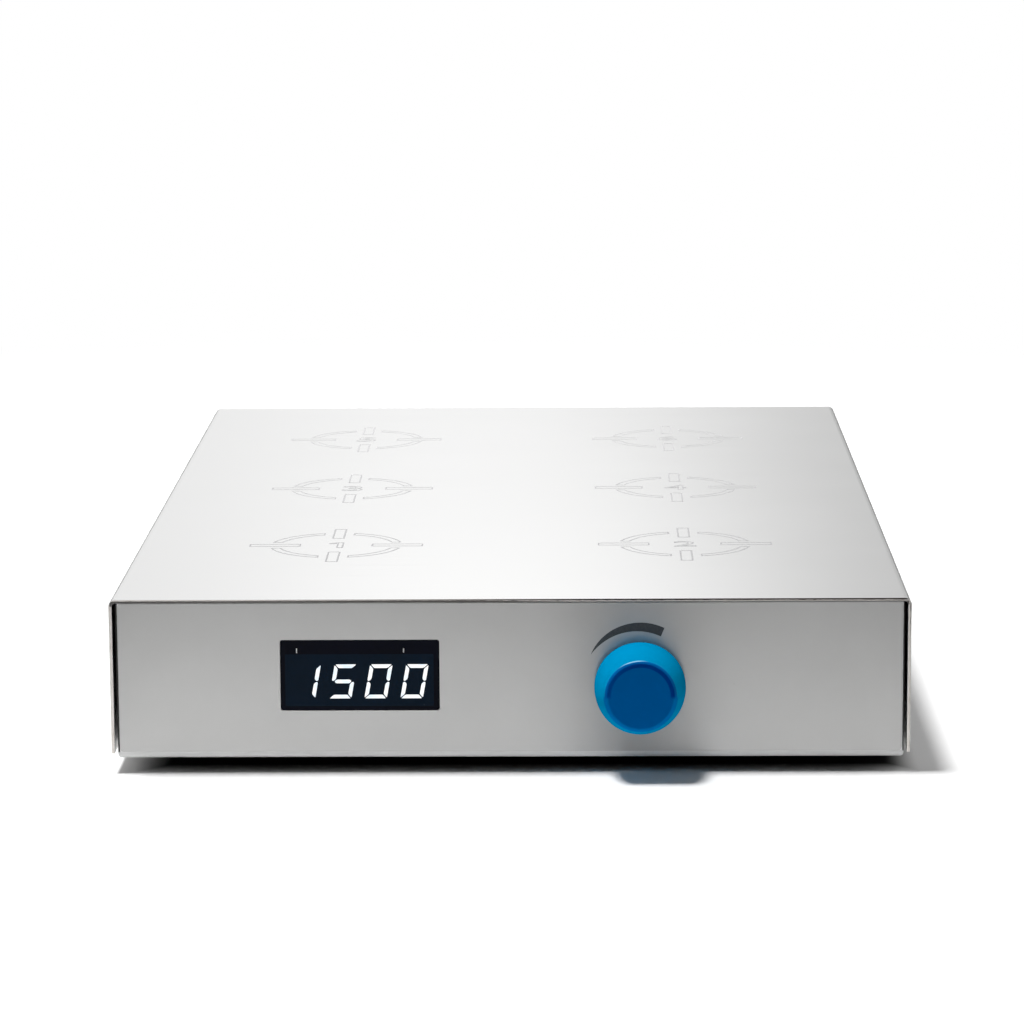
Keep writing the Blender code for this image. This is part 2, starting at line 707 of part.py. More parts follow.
def make_cover_screws():
    """Button heads on the side flanges, with a hexagon socket."""
    seat = COVER_HALF + FIT_GAP
    profile = (
        (0, SCREW_HEAD_HEIGHT), (SCREW_HEAD_RADIUS / 2, SCREW_HEAD_HEIGHT), (SCREW_HEAD_RADIUS, 0),
        (SCREW_RADIUS, 0), (SCREW_RADIUS, -SCREW_LENGTH), (0, -SCREW_LENGTH),
    )
    for number, (side, y) in enumerate(screw_places(), 1):
        place = (side * seat, y, TRAY_UNDERSIDE + SCREW_RISE)
        turn = (0, side * math.pi / 2, 0)
        screw = turned(f"cover_screw_{number}", profile, place, turn, STEEL, SMALL_STEPS)
        depth = SCREW_HEAD_HEIGHT / 2
        middle = (side * (seat + depth), y, TRAY_UNDERSIDE + SCREW_RISE)
        socket_radius = SCREW_KEY / math.sqrt(3)
        cut(screw, rod(f"hex_socket_{number}", socket_radius, depth + CUT_OVERRUN, middle, turn, steps=6))


# Display and push encoder

def nut_corner_radius():
    return NUT_ACROSS_FLATS / math.sqrt(3)


def make_display():
    block_between(
        "display_module",
        (WINDOW_X - MODULE_WIDTH / 2, MODULE_FRONT, MODULE_Z - MODULE_HEIGHT / 2),
        (WINDOW_X + MODULE_WIDTH / 2, MODULE_FRONT + MODULE_DEPTH, MODULE_Z + MODULE_HEIGHT / 2),
        MODULE_GREY)
    left = WINDOW_X - MODULE_WIDTH / 2 - DISPLAY_BOARD_MARGIN
    right = KNOB_X + ENCODER_WIDTH / 2 + DISPLAY_BOARD_MARGIN
    back = DISPLAY_BOARD_FRONT + BOARD_THICKNESS
    half_height = DISPLAY_BOARD_HEIGHT / 2
    board = block_between(
        "display_board", (left, DISPLAY_BOARD_FRONT, KNOB_Z - half_height),
        (right, back, KNOB_Z + half_height), BOARD_GREEN)
    width, depth, height = CONNECTOR_SIZE
    join(board, block_between(
        "display_connector", (RIBBON_X - width / 2, back - SOLDER_SINK, ribbon_start_z() - height / 2),
        (RIBBON_X + width / 2, back + depth, ribbon_start_z() + height / 2)))


def encoder_levels():
    """Heights along the encoder's axis, counted outwards from the wall's front face."""
    back = WALL_FRONT - DISPLAY_BOARD_FRONT
    room_top = back + FIT_GAP + ENCODER_ROOM
    detent_top = room_top - FIT_GAP
    return {
        "front": -TRAY_SHEET - FIT_GAP,
        "back": back + FIT_GAP,
        "room_top": room_top,
        "detent_top": detent_top,
        "detent_bottom": detent_top - DETENT_THICKNESS,
        "shoulder": detent_top + FIT_GAP + KNOB_TRAVEL,
        "tail_end": back + FIT_GAP + KNOB_TRAVEL,
        "knob_back": WALL_FRONT - FACE_SETBACK + KNOB_STANDOFF,
    }


def make_encoder():
    level = encoder_levels()
    axis = (KNOB_X, WALL_FRONT, KNOB_Z)

    def at(height):
        return (KNOB_X, WALL_FRONT - height, KNOB_Z)

    body = plate(
        "encoder_body", [rectangle(ENCODER_WIDTH, ENCODER_WIDTH)], level["front"] - level["back"],
        at(level["back"]), FACING_FRONT, BLACK_PLASTIC)
    sunk = TRAY_SHEET
    join(body, rod(
        "encoder_bush", BUSH_RADIUS, BUSH_REACH - level["front"] + sunk, at(level["front"] - sunk),
        FACING_FRONT, steps=ROUND_STEPS))
    bore = BUSH_REACH - level["room_top"] + 2 * CUT_OVERRUN
    cut(body, rod(
        "encoder_bore", ENCODER_SHAFT_RADIUS + FIT_GAP, bore, at(level["room_top"] - CUT_OVERRUN),
        FACING_FRONT, steps=ROUND_STEPS))
    cut(body, rod(
        "encoder_room", DETENT_RADIUS + FIT_GAP, ENCODER_ROOM + CUT_OVERRUN,
        at(level["back"] - CUT_OVERRUN), FACING_FRONT, steps=ROUND_STEPS))

    angles = np.radians(np.linspace(0, 360, 4 * DETENT_COUNT, endpoint=False))
    waves = DETENT_RADIUS - DETENT_DEPTH * (1 - np.cos(DETENT_COUNT * angles)) / 2
    rim = [(r * math.cos(a), r * math.sin(a)) for r, a in zip(waves, angles)]
    keyway = flatted_circle(ENCODER_TAIL_RADIUS + FIT_GAP, ENCODER_FLAT_DEPTH, SMALL_STEPS)
    plate(
        "encoder_wheel", [rim, keyway], DETENT_THICKNESS, at(level["detent_bottom"]), FACING_FRONT,
        BLACK_PLASTIC)

    nut_bottom = FIT_GAP
    nut_outline = circle(nut_corner_radius(), 6)
    plate(
        "encoder_nut", [nut_outline, circle(BUSH_RADIUS + FIT_GAP, ROUND_STEPS)], NUT_THICKNESS,
        at(nut_bottom), FACING_FRONT, ZINC)

    shaft_end = level["knob_back"] + KNOB_LENGTH - KNOB_FRONT_WALL - FIT_GAP
    profile = (
        (0, shaft_end), (ENCODER_SHAFT_RADIUS, shaft_end),
        (ENCODER_SHAFT_RADIUS, level["shoulder"]), (ENCODER_TAIL_RADIUS, level["shoulder"]),
        (ENCODER_TAIL_RADIUS, level["tail_end"]), (0, level["tail_end"]),
    )
    shaft = turned("encoder_shaft", profile, axis, FACING_FRONT, ALUMINIUM, SMALL_STEPS)
    flat_length = level["shoulder"] - level["tail_end"] + CUT_OVERRUN
    flat_low = ENCODER_TAIL_RADIUS - ENCODER_FLAT_DEPTH
    flat = block_between(
        "tail_flat", (KNOB_X - BUSH_RADIUS, WALL_FRONT - level["shoulder"], KNOB_Z + flat_low),
        (KNOB_X + BUSH_RADIUS, WALL_FRONT - level["shoulder"] + flat_length, KNOB_Z + BUSH_RADIUS))
    cut(shaft, flat)


def make_knob():
    """A domed knob: the side falls from the base radius to the face radius along a power curve."""
    level = encoder_levels()
    back = level["knob_back"]
    front = back + KNOB_LENGTH
    side_top = front - KNOB_RIM
    side_base = back + KNOB_FOOT_ROUND
    side = []
    for step in range(KNOB_SIDE_STEPS + 1):
        share = 1 - step / KNOB_SIDE_STEPS
        radius = KNOB_BASE_RADIUS - (KNOB_BASE_RADIUS - KNOB_FACE_RADIUS) * share ** KNOB_SIDE_POWER
        side.append((radius, side_base + (side_top - side_base) * share))
    rim_centre = KNOB_FACE_RADIUS - KNOB_RIM
    rim = arc(rim_centre, side_top, KNOB_RIM, 90, 0, BEND_STEPS)[:-1]
    inner = KNOB_BASE_RADIUS - KNOB_WALL
    hub_back = BUSH_REACH + KNOB_TRAVEL + FIT_GAP
    bore = ENCODER_SHAFT_RADIUS + FIT_GAP
    bore_end = front - KNOB_FRONT_WALL
    hollow_end = bore_end - KNOB_RIM
    profile = [(0, front)] + rim + side + [
        (KNOB_BASE_RADIUS - KNOB_FOOT_ROUND, back), (inner, back),
        (KNOB_FACE_RADIUS - KNOB_WALL, hollow_end), (KNOB_HUB_RADIUS, hollow_end),
        (KNOB_HUB_RADIUS, hub_back), (bore, hub_back), (bore, bore_end), (0, bore_end),
    ]
    place = (KNOB_X, WALL_FRONT, KNOB_Z)
    return turned("knob", profile, place, FACING_FRONT, KNOB_BLUE, KNOB_STEPS)


# Drive

def make_bridge():
    """A steel sheet bent to a hat: feet on the tray floor, two legs and the carrying deck."""
    foot_face = TRAY_FLOOR + FIT_GAP + BRIDGE_SHEET
    half = COVER_HALF - BRIDGE_SIDE_ROOM
    reach = half + BRIDGE_FOOT
    corners = (
        (-reach, foot_face), (-half, foot_face), (-half, BRIDGE_TOP),
        (half, BRIDGE_TOP), (half, foot_face), (reach, foot_face),
    )
    run = (ROW_PLACES[0] - BRIDGE_MARGIN, ROW_PLACES[-1] + BRIDGE_MARGIN)
    bridge = bent_sheet("drive_bridge", bent_path(corners, BRIDGE_BEND), run, BRIDGE_SHEET, "Y", ZINC)
    through = BRIDGE_SHEET + 2 * CUT_OVERRUN
    low = BRIDGE_BOTTOM - CUT_OVERRUN
    for number, (x, y) in enumerate(STIRRING_PLACES, 1):
        cut(bridge, rod(f"spindle_hole_{number}", SPINDLE_STUD_RADIUS + FIT_GAP, through, (x, y, low)))
    cut(bridge, rod("motor_hole", MOTOR_TUBE_RADIUS, through, (0, MIDDLE_ROW, low)))
    return bridge


def groove(level, pitch_radius):
    """The four corners of a belt groove, from its upper edge to its lower one."""
    rim = pitch_radius + GROOVE_LIP
    floor = pitch_radius - BELT_RADIUS - FIT_GAP
    return [
        (rim, level + GROOVE_MOUTH_HALF), (floor, level + GROOVE_MOUTH_HALF / 2),
        (floor, level - GROOVE_MOUTH_HALF / 2), (rim, level - GROOVE_MOUTH_HALF),
    ]


def make_rotors():
    """Six equal rotors: a magnet carrier over a pulley with three grooves, and a blind bore."""
    rim = ROTOR_PITCH_RADIUS + GROOVE_LIP
    bore = BUSH_OUTER_RADIUS + FIT_GAP
    profile = [
        (0, ROTOR_TOP), (CARRIER_RADIUS - CARRIER_CHAMFER, ROTOR_TOP),
        (CARRIER_RADIUS, ROTOR_TOP - CARRIER_CHAMFER), (CARRIER_RADIUS, CARRIER_BOTTOM),
        (rim, CARRIER_BOTTOM),
    ]
    for level in GROOVE_LEVELS:
        profile += groove(level, ROTOR_PITCH_RADIUS)
    profile += [(rim, ROTOR_BOTTOM), (bore, ROTOR_BOTTOM), (bore, BORE_TOP), (0, BORE_TOP)]
    x, y = STIRRING_PLACES[0]
    first = turned("stir_rotor_1", profile, (x, y, 0), finish=ALUMINIUM)
    slot_floor = ROTOR_TOP - MAGNET_SINK - MAGNET_HEIGHT - FIT_GAP
    half_length, half_width = MAGNET_LENGTH / 2 + FIT_GAP, MAGNET_WIDTH / 2 + FIT_GAP
    cut(first, block_between(
        "magnet_slot", (x - half_length, y - half_width, slot_floor),
        (x + half_length, y + half_width, ROTOR_TOP + CUT_OVERRUN)))
    first = baked(first)
    for number, (x, y) in enumerate(STIRRING_PLACES[1:], 2):
        repeat(first, f"stir_rotor_{number}", (x, y, 0))


def make_magnets():
    bm = bmesh.new()
    bmesh.ops.create_cube(bm, size=1.0)
    bmesh.ops.scale(bm, vec=(MAGNET_LENGTH, MAGNET_WIDTH, MAGNET_HEIGHT), verts=bm.verts)
    mesh = mesh_from(bm, "bar_magnet")
    height = ROTOR_TOP - MAGNET_SINK - MAGNET_HEIGHT / 2
    for number, (x, y) in enumerate(STIRRING_PLACES, 1):
        magnet = add(f"bar_magnet_{number}", mesh, (x, y, height))
        edge = magnet.modifiers.new("edges", "BEVEL")
        edge.width = MAGNET_EDGE
        edge.segments = 1
    give_finish(magnet, MAGNET_GREY)


def make_bushes():
    """Flanged bronze bushes, each under and inside its rotor."""
    inner = SPINDLE_RADIUS + FIT_GAP
    flange_top = ROTOR_BOTTOM - FIT_GAP
    flange_bottom = flange_top - BUSH_FLANGE_THICKNESS
    top = BORE_TOP - FIT_GAP
    profile = (
        (BUSH_OUTER_RADIUS, top), (BUSH_OUTER_RADIUS, flange_top), (BUSH_FLANGE_RADIUS, flange_top),
        (BUSH_FLANGE_RADIUS, flange_bottom), (inner, flange_bottom), (inner, top),
    )
    places = [(x, y, 0) for x, y in STIRRING_PLACES]
    first = turned("rotor_bush_1", profile, places[0], finish=BRONZE, steps=SMALL_STEPS, ring=True)
    for number, place in enumerate(places[1:], 2):
        repeat(first, f"rotor_bush_{number}", place)


def make_spindles():
    """Steel pins riveted into the deck of the bridge."""
    top = BORE_TOP - FIT_GAP - FIT_GAP
    stud = SPINDLE_STUD_RADIUS
    rivet_top = BRIDGE_BOTTOM - FIT_GAP
    flange_bottom = BRIDGE_TOP + FIT_GAP
    profile = (
        (0, top), (SPINDLE_RADIUS, top), (SPINDLE_RADIUS, SPINDLE_FLANGE_TOP),
        (SPINDLE_FLANGE_RADIUS, SPINDLE_FLANGE_TOP), (SPINDLE_FLANGE_RADIUS, flange_bottom),
        (stud, flange_bottom), (stud, rivet_top), (RIVET_RADIUS, rivet_top),
        (RIVET_RADIUS, rivet_top - RIVET_THICKNESS), (0, rivet_top - RIVET_THICKNESS),
    )
    places = [(x, y, 0) for x, y in STIRRING_PLACES]
    first = turned("spindle_1", profile, places[0], finish=STEEL, steps=SMALL_STEPS)
    for number, place in enumerate(places[1:], 2):
        repeat(first, f"spindle_{number}", place)


def belt_route(first, second, level):
    """A closed belt line round two pulleys, each given as (x, y, pitch radius).

    Each arc is drawn a little wide, so that the middles of its chords lie on the pitch circle.
    """
    (x1, y1, r1), (x2, y2, r2) = first, second
    away = math.atan2(y2 - y1, x2 - x1)
    lean = math.acos((r1 - r2) / math.hypot(x2 - x1, y2 - y1))
    points = []
    for x, y, radius, start, sweep in (
        (x1, y1, r1, away + lean, 2 * math.pi - 2 * lean),
        (x2, y2, r2, away - lean, 2 * lean),
    ):
        angles = start + np.linspace(0, sweep, BELT_ARC_STEPS + 1)
        wide = radius / math.cos(sweep / BELT_ARC_STEPS / 2)
        reach = np.full(BELT_ARC_STEPS + 1, wide)
        reach[[0, -1]] = radius
        points += [(x + r * math.cos(a), y + r * math.sin(a), level) for r, a in zip(reach, angles)]
    return points


def make_belts():
    """Round belts: one pair along each column, and one from the motor to each middle rotor."""
    upper, middle, lower = GROOVE_LEVELS
    rotors = [(x, y, ROTOR_PITCH_RADIUS) for x, y in STIRRING_PLACES]
    motor = (0, MIDDLE_ROW, DRIVE_PITCH_RADIUS)
    runs = (
        ("front_belt_left", rotors[0], rotors[2], upper),
        ("rear_belt_left", rotors[2], rotors[4], middle),
        ("motor_belt_left", rotors[2], motor, lower),
        ("front_belt_right", rotors[1], rotors[3], upper),
        ("rear_belt_right", rotors[3], rotors[5], lower),
        ("motor_belt_right", rotors[3], motor, middle),
    )
    for name, first, second, level in runs:
        tube(name, belt_route(first, second, level), BELT_RADIUS, True, BLACK_RUBBER)


def make_motor():
    """A flat motor under the deck: fixed base with stator, and an outer bell that turns with the shaft."""
    place = (0, MIDDLE_ROW, 0)
    flange_top = BRIDGE_BOTTOM - FIT_GAP
    flange_bottom = flange_top - MOTOR_FLANGE_THICKNESS
    stator_top = flange_bottom - MOTOR_AIR_GAP - FIT_GAP
    stator_bottom = stator_top - STATOR_THICKNESS
    tube_bottom = stator_bottom - MOTOR_AIR_GAP
    bore = MOTOR_SHAFT_RADIUS + FIT_GAP
    base_profile = (
        (MOTOR_FLANGE_RADIUS, flange_top), (MOTOR_FLANGE_RADIUS, flange_bottom),
        (MOTOR_TUBE_RADIUS, flange_bottom), (MOTOR_TUBE_RADIUS, stator_top),
        (STATOR_RADIUS, stator_top), (STATOR_RADIUS, stator_bottom),
        (MOTOR_TUBE_RADIUS, stator_bottom), (MOTOR_TUBE_RADIUS, tube_bottom),
        (bore, tube_bottom), (bore, flange_top),
    )
    turned("motor_base", base_profile, place, finish=ALUMINIUM, ring=True)

    bell_top = flange_bottom - MOTOR_AIR_GAP
    hub_top = tube_bottom - FIT_GAP
    floor_top = hub_top - BELL_HUB_HEIGHT
    bell_bottom = floor_top - BELL_FLOOR
    bell_inner = BELL_RADIUS - BELL_WALL
    shaft_bottom = hub_top - BELL_HUB_HEIGHT
    bell_profile = (
        (0, shaft_bottom - FIT_GAP), (bore, shaft_bottom - FIT_GAP), (bore, hub_top),
        (BELL_HUB_RADIUS, hub_top), (BELL_HUB_RADIUS, floor_top), (bell_inner, floor_top),
        (bell_inner, bell_top), (BELL_RADIUS, bell_top), (BELL_RADIUS, bell_bottom), (0, bell_bottom),
    )
    turned("motor_bell", bell_profile, place, finish=STEEL)

    middle, lower = GROOVE_LEVELS[1:]
    half_pitch = GROOVE_PITCH / 2
    pulley_top = middle + half_pitch + PULLEY_END
    pulley_bottom = lower - half_pitch - PULLEY_END
    shaft_top = pulley_top + MOTOR_SHAFT_END
    shaft_profile = (
        (0, shaft_top), (MOTOR_SHAFT_RADIUS, shaft_top), (MOTOR_SHAFT_RADIUS, shaft_bottom),
        (0, shaft_bottom),
    )
    turned("motor_shaft", shaft_profile, place, finish=STEEL, steps=SMALL_STEPS)
    rim = DRIVE_PITCH_RADIUS + GROOVE_LIP
    pulley_profile = [(rim, pulley_top)]
    for level in (middle, lower):
        pulley_profile += groove(level, DRIVE_PITCH_RADIUS)
    pulley_profile += [(rim, pulley_bottom), (bore, pulley_bottom), (bore, pulley_top)]
    turned("drive_pulley", pulley_profile, place, finish=ALUMINIUM, ring=True)


# Boards, leads and sockets

def post_places():
    half = MAIN_BOARD_WIDTH / 2 - POST_INSET
    rows = (MAIN_BOARD_FRONT + POST_INSET, MAIN_BOARD_BACK - POST_INSET)
    return [(MAIN_BOARD_X + side * half, y) for y in rows for side in (-1, 1)]


def ribbon_start_z():
    return KNOB_Z - DISPLAY_BOARD_HEIGHT / 4


def on_main_board(name, size, x, y):
    """A block soldered to the top of the main board, at a place counted from the board's middle."""
    width, depth, height = size
    middle_y = (MAIN_BOARD_FRONT + MAIN_BOARD_BACK) / 2
    low = (MAIN_BOARD_X + x - width / 2, middle_y + y - depth / 2, MAIN_BOARD_TOP - SOLDER_SINK)
    return block_between(name, low, (low[0] + width, low[1] + depth, MAIN_BOARD_TOP + height))


def make_main_board():
    half_width, half_length = MAIN_BOARD_WIDTH / 2, MAIN_BOARD_LENGTH / 2
    board = block_between(
        "main_board", (MAIN_BOARD_X - half_width, MAIN_BOARD_FRONT, MAIN_BOARD_BOTTOM),
        (MAIN_BOARD_X + half_width, MAIN_BOARD_BACK, MAIN_BOARD_TOP), BOARD_GREEN)
    connector_y = CONNECTOR_SIZE[1] / 2 - half_length
    terminal_y = half_length - TERMINAL_SIZE[1] / 2
    join(
        board,
        on_main_board("transformer", (*TRANSFORMER_SIZE, BOARD_PART_HEIGHT), 0, half_length / 3),
        on_main_board(
            "heat_sink", (*HEAT_SINK_SIZE, BOARD_PART_HEIGHT), half_width / 2, -half_length / 4),
        on_main_board("ribbon_connector", CONNECTOR_SIZE, RIBBON_X - MAIN_BOARD_X, connector_y),
        on_main_board("terminal_block", TERMINAL_SIZE, terminal_x() - MAIN_BOARD_X, terminal_y),
    )
    middle_y = (MAIN_BOARD_FRONT + MAIN_BOARD_BACK) / 2
    for number, share in enumerate((-1, 1), 1):
        place = (MAIN_BOARD_X - half_width / 2, middle_y + share * half_length / 4)
        join(board, rod(
            f"capacitor_{number}", CAPACITOR_RADIUS, BOARD_PART_HEIGHT + SOLDER_SINK,
            (*place, MAIN_BOARD_TOP - SOLDER_SINK)))


def terminal_x():
    return MAIN_BOARD_X + MAIN_BOARD_WIDTH / 2 - TERMINAL_SIZE[0]


def make_ribbon():
    """A flat cable from the display board down to the tray floor and up to the main board."""
    start = DISPLAY_BOARD_FRONT + BOARD_THICKNESS + CONNECTOR_SIZE[1] + FIT_GAP
    low = TRAY_FLOOR + FIT_GAP + RIBBON_THICKNESS
    end_z = MAIN_BOARD_TOP + CONNECTOR_SIZE[2] / 2
    end = MAIN_BOARD_FRONT - FIT_GAP
    corners = (
        (start, ribbon_start_z()), (start + RIBBON_REACH, ribbon_start_z()),
        (start + RIBBON_REACH, low), (end - RIBBON_REACH, low), (end - RIBBON_REACH, end_z),
        (end, end_z),
    )
    half = RIBBON_WIDTH / 2
    return bent_sheet(
        "display_ribbon", bent_path(corners, RIBBON_BEND), (RIBBON_X + half, RIBBON_X - half),
        RIBBON_THICKNESS, "X", CABLE_GREY)


def make_inlet():
    """A panel socket: rounded flange, body through the wall, keyed recess and three blades."""
    seat = WALL_BACK + FIT_GAP
    face = seat + INLET_FLANGE_THICKNESS
    inner = seat - INLET_BODY_DEPTH
    inlet = plate(
        "mains_inlet", [rounded_rectangle(*INLET_FLANGE, INLET_FLANGE_CORNER)], INLET_FLANGE_THICKNESS,
        (INLET_X, seat, SOCKET_Z), FACING_BACK, BLACK_PLASTIC)
    overlap = INLET_FLANGE_THICKNESS / 2
    join(inlet, plate(
        "inlet_body", [rectangle(*INLET_BODY)], INLET_BODY_DEPTH + overlap,
        (INLET_X, inner, SOCKET_Z), FACING_BACK))
    half_width, half_height = INLET_RECESS[0] / 2, INLET_RECESS[1] / 2
    slope = INLET_RECESS_CHAMFER
    keyed = [
        (-half_width, -half_height), (half_width, -half_height), (half_width, half_height - slope),
        (half_width - slope, half_height), (slope - half_width, half_height),
        (-half_width, half_height - slope),
    ]
    recess_floor = face - INLET_RECESS_DEPTH
    cut(inlet, plate(
        "inlet_recess", [keyed], INLET_RECESS_DEPTH + CUT_OVERRUN, (INLET_X, recess_floor, SOCKET_Z),
        FACING_BACK))
    width, height, length = BLADE_SIZE
    for number, (x, z) in enumerate(
        ((-BLADE_SPACING, -BLADE_DROP), (0, EARTH_RISE), (BLADE_SPACING, -BLADE_DROP)), 1
    ):
        low = (INLET_X + x - width / 2, recess_floor - TRAY_SHEET, SOCKET_Z + z - height / 2)
        high = (INLET_X + x + width / 2, recess_floor + length, SOCKET_Z + z + height / 2)
        join(inlet, block_between(f"inlet_blade_{number}", low, high))
        thick, tab_height, reach = TAB_SIZE
        low = (INLET_X + x - thick / 2, inner - reach, SOCKET_Z + z - tab_height / 2)
        high = (INLET_X + x + thick / 2, inner + TRAY_SHEET, SOCKET_Z + z + tab_height / 2)
        join(inlet, block_between(f"inlet_tab_{number}", low, high))


def rocker_pivot():
    return (SWITCH_X, WALL_BACK + FIT_GAP + SWITCH_BEZEL_THICKNESS - ROCKER_PIVOT_DEPTH, SOCKET_Z)


def rocker_width():
    return SWITCH_BODY[0] - 2 * SWITCH_WALL - 2 * FIT_GAP


def make_switch():
    """The fixed half of the rocker switch, a box with the room that the key tilts in."""
    seat = WALL_BACK + FIT_GAP
    face = seat + SWITCH_BEZEL_THICKNESS
    inner = seat - SWITCH_BODY_DEPTH
    housing = plate(
        "switch_housing", [rounded_rectangle(*SWITCH_BEZEL, SWITCH_BEZEL_CORNER)],
        SWITCH_BEZEL_THICKNESS, (SWITCH_X, seat, SOCKET_Z), FACING_BACK, BLACK_PLASTIC)
    join(housing, plate(
        "switch_body", [rectangle(*SWITCH_BODY)], SWITCH_BODY_DEPTH + SWITCH_BEZEL_THICKNESS / 2,
        (SWITCH_X, inner, SOCKET_Z), FACING_BACK))
    room = rectangle(SWITCH_BODY[0] - 2 * SWITCH_WALL, 2 * (ROCKER_RADIUS + FIT_GAP))
    cut(housing, plate(
        "switch_room", [room], SWITCH_ROOM_DEPTH + CUT_OVERRUN,
        (SWITCH_X, face - SWITCH_ROOM_DEPTH, SOCKET_Z), FACING_BACK))
    x, y, z = rocker_pivot()
    length = SWITCH_BODY[0] + 2 * CUT_OVERRUN
    cut(housing, rod(
        "pivot_hole", ROCKER_PIN_RADIUS + FIT_GAP, length, (x - length / 2, y, z), (0, math.pi / 2, 0)))
    thick, tab_height, reach = TAB_SIZE
    for number, side in enumerate((-1, 1), 1):
        middle = SOCKET_Z + side * SWITCH_BODY[1] / 4
        low = (SWITCH_X - tab_height / 2, inner - reach, middle - thick / 2)
        high = (SWITCH_X + tab_height / 2, inner + TRAY_SHEET, middle + thick / 2)
        join(housing, block_between(f"switch_tab_{number}", low, high))


def make_rocker():
    """A rocker key with a dished face, round ends about its pivot and two pins in the housing."""
    rise = math.degrees(math.asin(ROCKER_RISE / ROCKER_RADIUS))
    low = rise / 2
    end = arc(0, 0, ROCKER_RADIUS, -low, rise, BEND_STEPS)
    other_end = [(-x, y) for x, y in reversed(end)]
    outline = end + [(0, ROCKER_DISH)] + other_end + [(0, -ROCKER_CAM)]
    width = rocker_width()
    key = plate(
        "rocker_key", [outline], width, (width / 2, 0, 0), (0, -math.pi / 2, 0), BLACK_PLASTIC)
    pins = rod(
        "rocker_pins", ROCKER_PIN_RADIUS, SWITCH_BODY[0] - FIT_GAP,
        (FIT_GAP / 2 - SWITCH_BODY[0] / 2, 0, 0), (0, math.pi / 2, 0))
    join(key, pins)
    pivot = bpy.data.objects.new("rocker_pivot", None)
    PARTS.objects.link(pivot)
    pivot.location = rocker_pivot()
    for item in (key, pins):
        item.parent = pivot
    pivot.rotation_euler = (math.radians(ROCKER_TILT), 0, 0)


def make_lead():
    """A sleeved lead from the switch's tabs down and across to the terminal block."""
    start_y = WALL_BACK + FIT_GAP - SWITCH_BODY_DEPTH - TAB_SIZE[2] - FIT_GAP
    run_y = MAIN_BOARD_BACK + LEAD_REACH
    end_z = MAIN_BOARD_TOP + TERMINAL_SIZE[2] / 2
    corners = (
        (SWITCH_X, start_y, SOCKET_Z), (SWITCH_X, run_y, SOCKET_Z), (SWITCH_X, run_y, end_z),
        (terminal_x(), run_y, end_z), (terminal_x(), MAIN_BOARD_BACK + FIT_GAP, end_z),
    )
    return tube("mains_lead", bent_path(corners, LEAD_BEND), LEAD_RADIUS, False, CABLE_GREY)


def centre_on_floor():
    """Hangs every piece on one empty and moves it so that the outline's middle lies over the origin."""
    assembly = bpy.data.objects.new("assembly", None)
    PARTS.objects.link(assembly)
    for item in list(PARTS.objects) + list(CUTTERS.objects):
        if item.parent is None and item is not assembly:
            item.parent = assembly
    bpy.context.view_layer.update()
    graph = bpy.context.evaluated_depsgraph_get()
    points = []
    for item in PARTS.objects:
        if item.type != "EMPTY":
            solid = item.evaluated_get(graph)
            points += [solid.matrix_world @ vertex.co for vertex in solid.to_mesh().vertices]
            solid.to_mesh_clear()
    points = np.array(points)
    middle = (points.min(axis=0) + points.max(axis=0)) / 2
    assembly.location = (-middle[0], -middle[1], -points[:, 2].min())
    bpy.context.view_layer.update()


def main():
    make_cover()
    make_tray()
    make_overlay()
    make_window()
    make_feet()
    make_cover_screws()
    make_display()
    make_encoder()
    make_knob()
    make_bridge()
    make_rotors()
    make_magnets()
    make_bushes()
    make_spindles()
    make_belts()
    make_motor()
    make_main_board()
    make_ribbon()
    make_inlet()
    make_switch()
    make_rocker()
    make_lead()
    centre_on_floor()


main()
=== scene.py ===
"""Looks of a six-position magnetic stirrer: brushed cover, grey film, lit display, blue knob.

X runs to the right, Y runs back and Z runs up from the table, in metres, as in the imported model.
"""
import json
import math

import bmesh
import bpy
import numpy as np
from mathutils import Matrix, Vector


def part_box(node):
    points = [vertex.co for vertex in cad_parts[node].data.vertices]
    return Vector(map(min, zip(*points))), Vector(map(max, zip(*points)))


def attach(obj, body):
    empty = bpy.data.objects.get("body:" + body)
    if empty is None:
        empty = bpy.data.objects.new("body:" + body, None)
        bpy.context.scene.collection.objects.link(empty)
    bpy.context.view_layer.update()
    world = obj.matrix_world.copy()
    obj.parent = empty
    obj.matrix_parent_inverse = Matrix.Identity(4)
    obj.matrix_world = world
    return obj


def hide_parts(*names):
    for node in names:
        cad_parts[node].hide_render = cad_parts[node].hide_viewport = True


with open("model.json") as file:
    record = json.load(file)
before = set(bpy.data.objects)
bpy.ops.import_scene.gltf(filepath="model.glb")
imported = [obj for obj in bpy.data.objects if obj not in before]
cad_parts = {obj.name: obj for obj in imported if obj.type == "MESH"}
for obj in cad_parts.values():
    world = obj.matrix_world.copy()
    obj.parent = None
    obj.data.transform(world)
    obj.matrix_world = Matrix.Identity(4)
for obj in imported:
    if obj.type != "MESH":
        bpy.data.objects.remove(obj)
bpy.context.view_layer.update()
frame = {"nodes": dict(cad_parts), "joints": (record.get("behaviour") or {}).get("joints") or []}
NODES = frame["nodes"]

COVER_LOW, COVER_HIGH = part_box("top_cover")
FRONT, BACK, TOP, HALF_WIDTH = COVER_LOW.y, COVER_HIGH.y, COVER_HIGH.z, COVER_HIGH.x
FILM_LOW, FILM_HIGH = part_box("front_overlay")
FILM_FACE = FILM_LOW.y
KNOB_LOW, KNOB_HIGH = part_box("knob")
KNOB_X = (KNOB_LOW.x + KNOB_HIGH.x) / 2
KNOB_Z = (KNOB_LOW.z + KNOB_HIGH.z) / 2
PLACES = {n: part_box(f"stir_rotor_{n}") for n in range(1, 7)}
TRAY_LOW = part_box("base_tray")[0].z
MM = 0.001

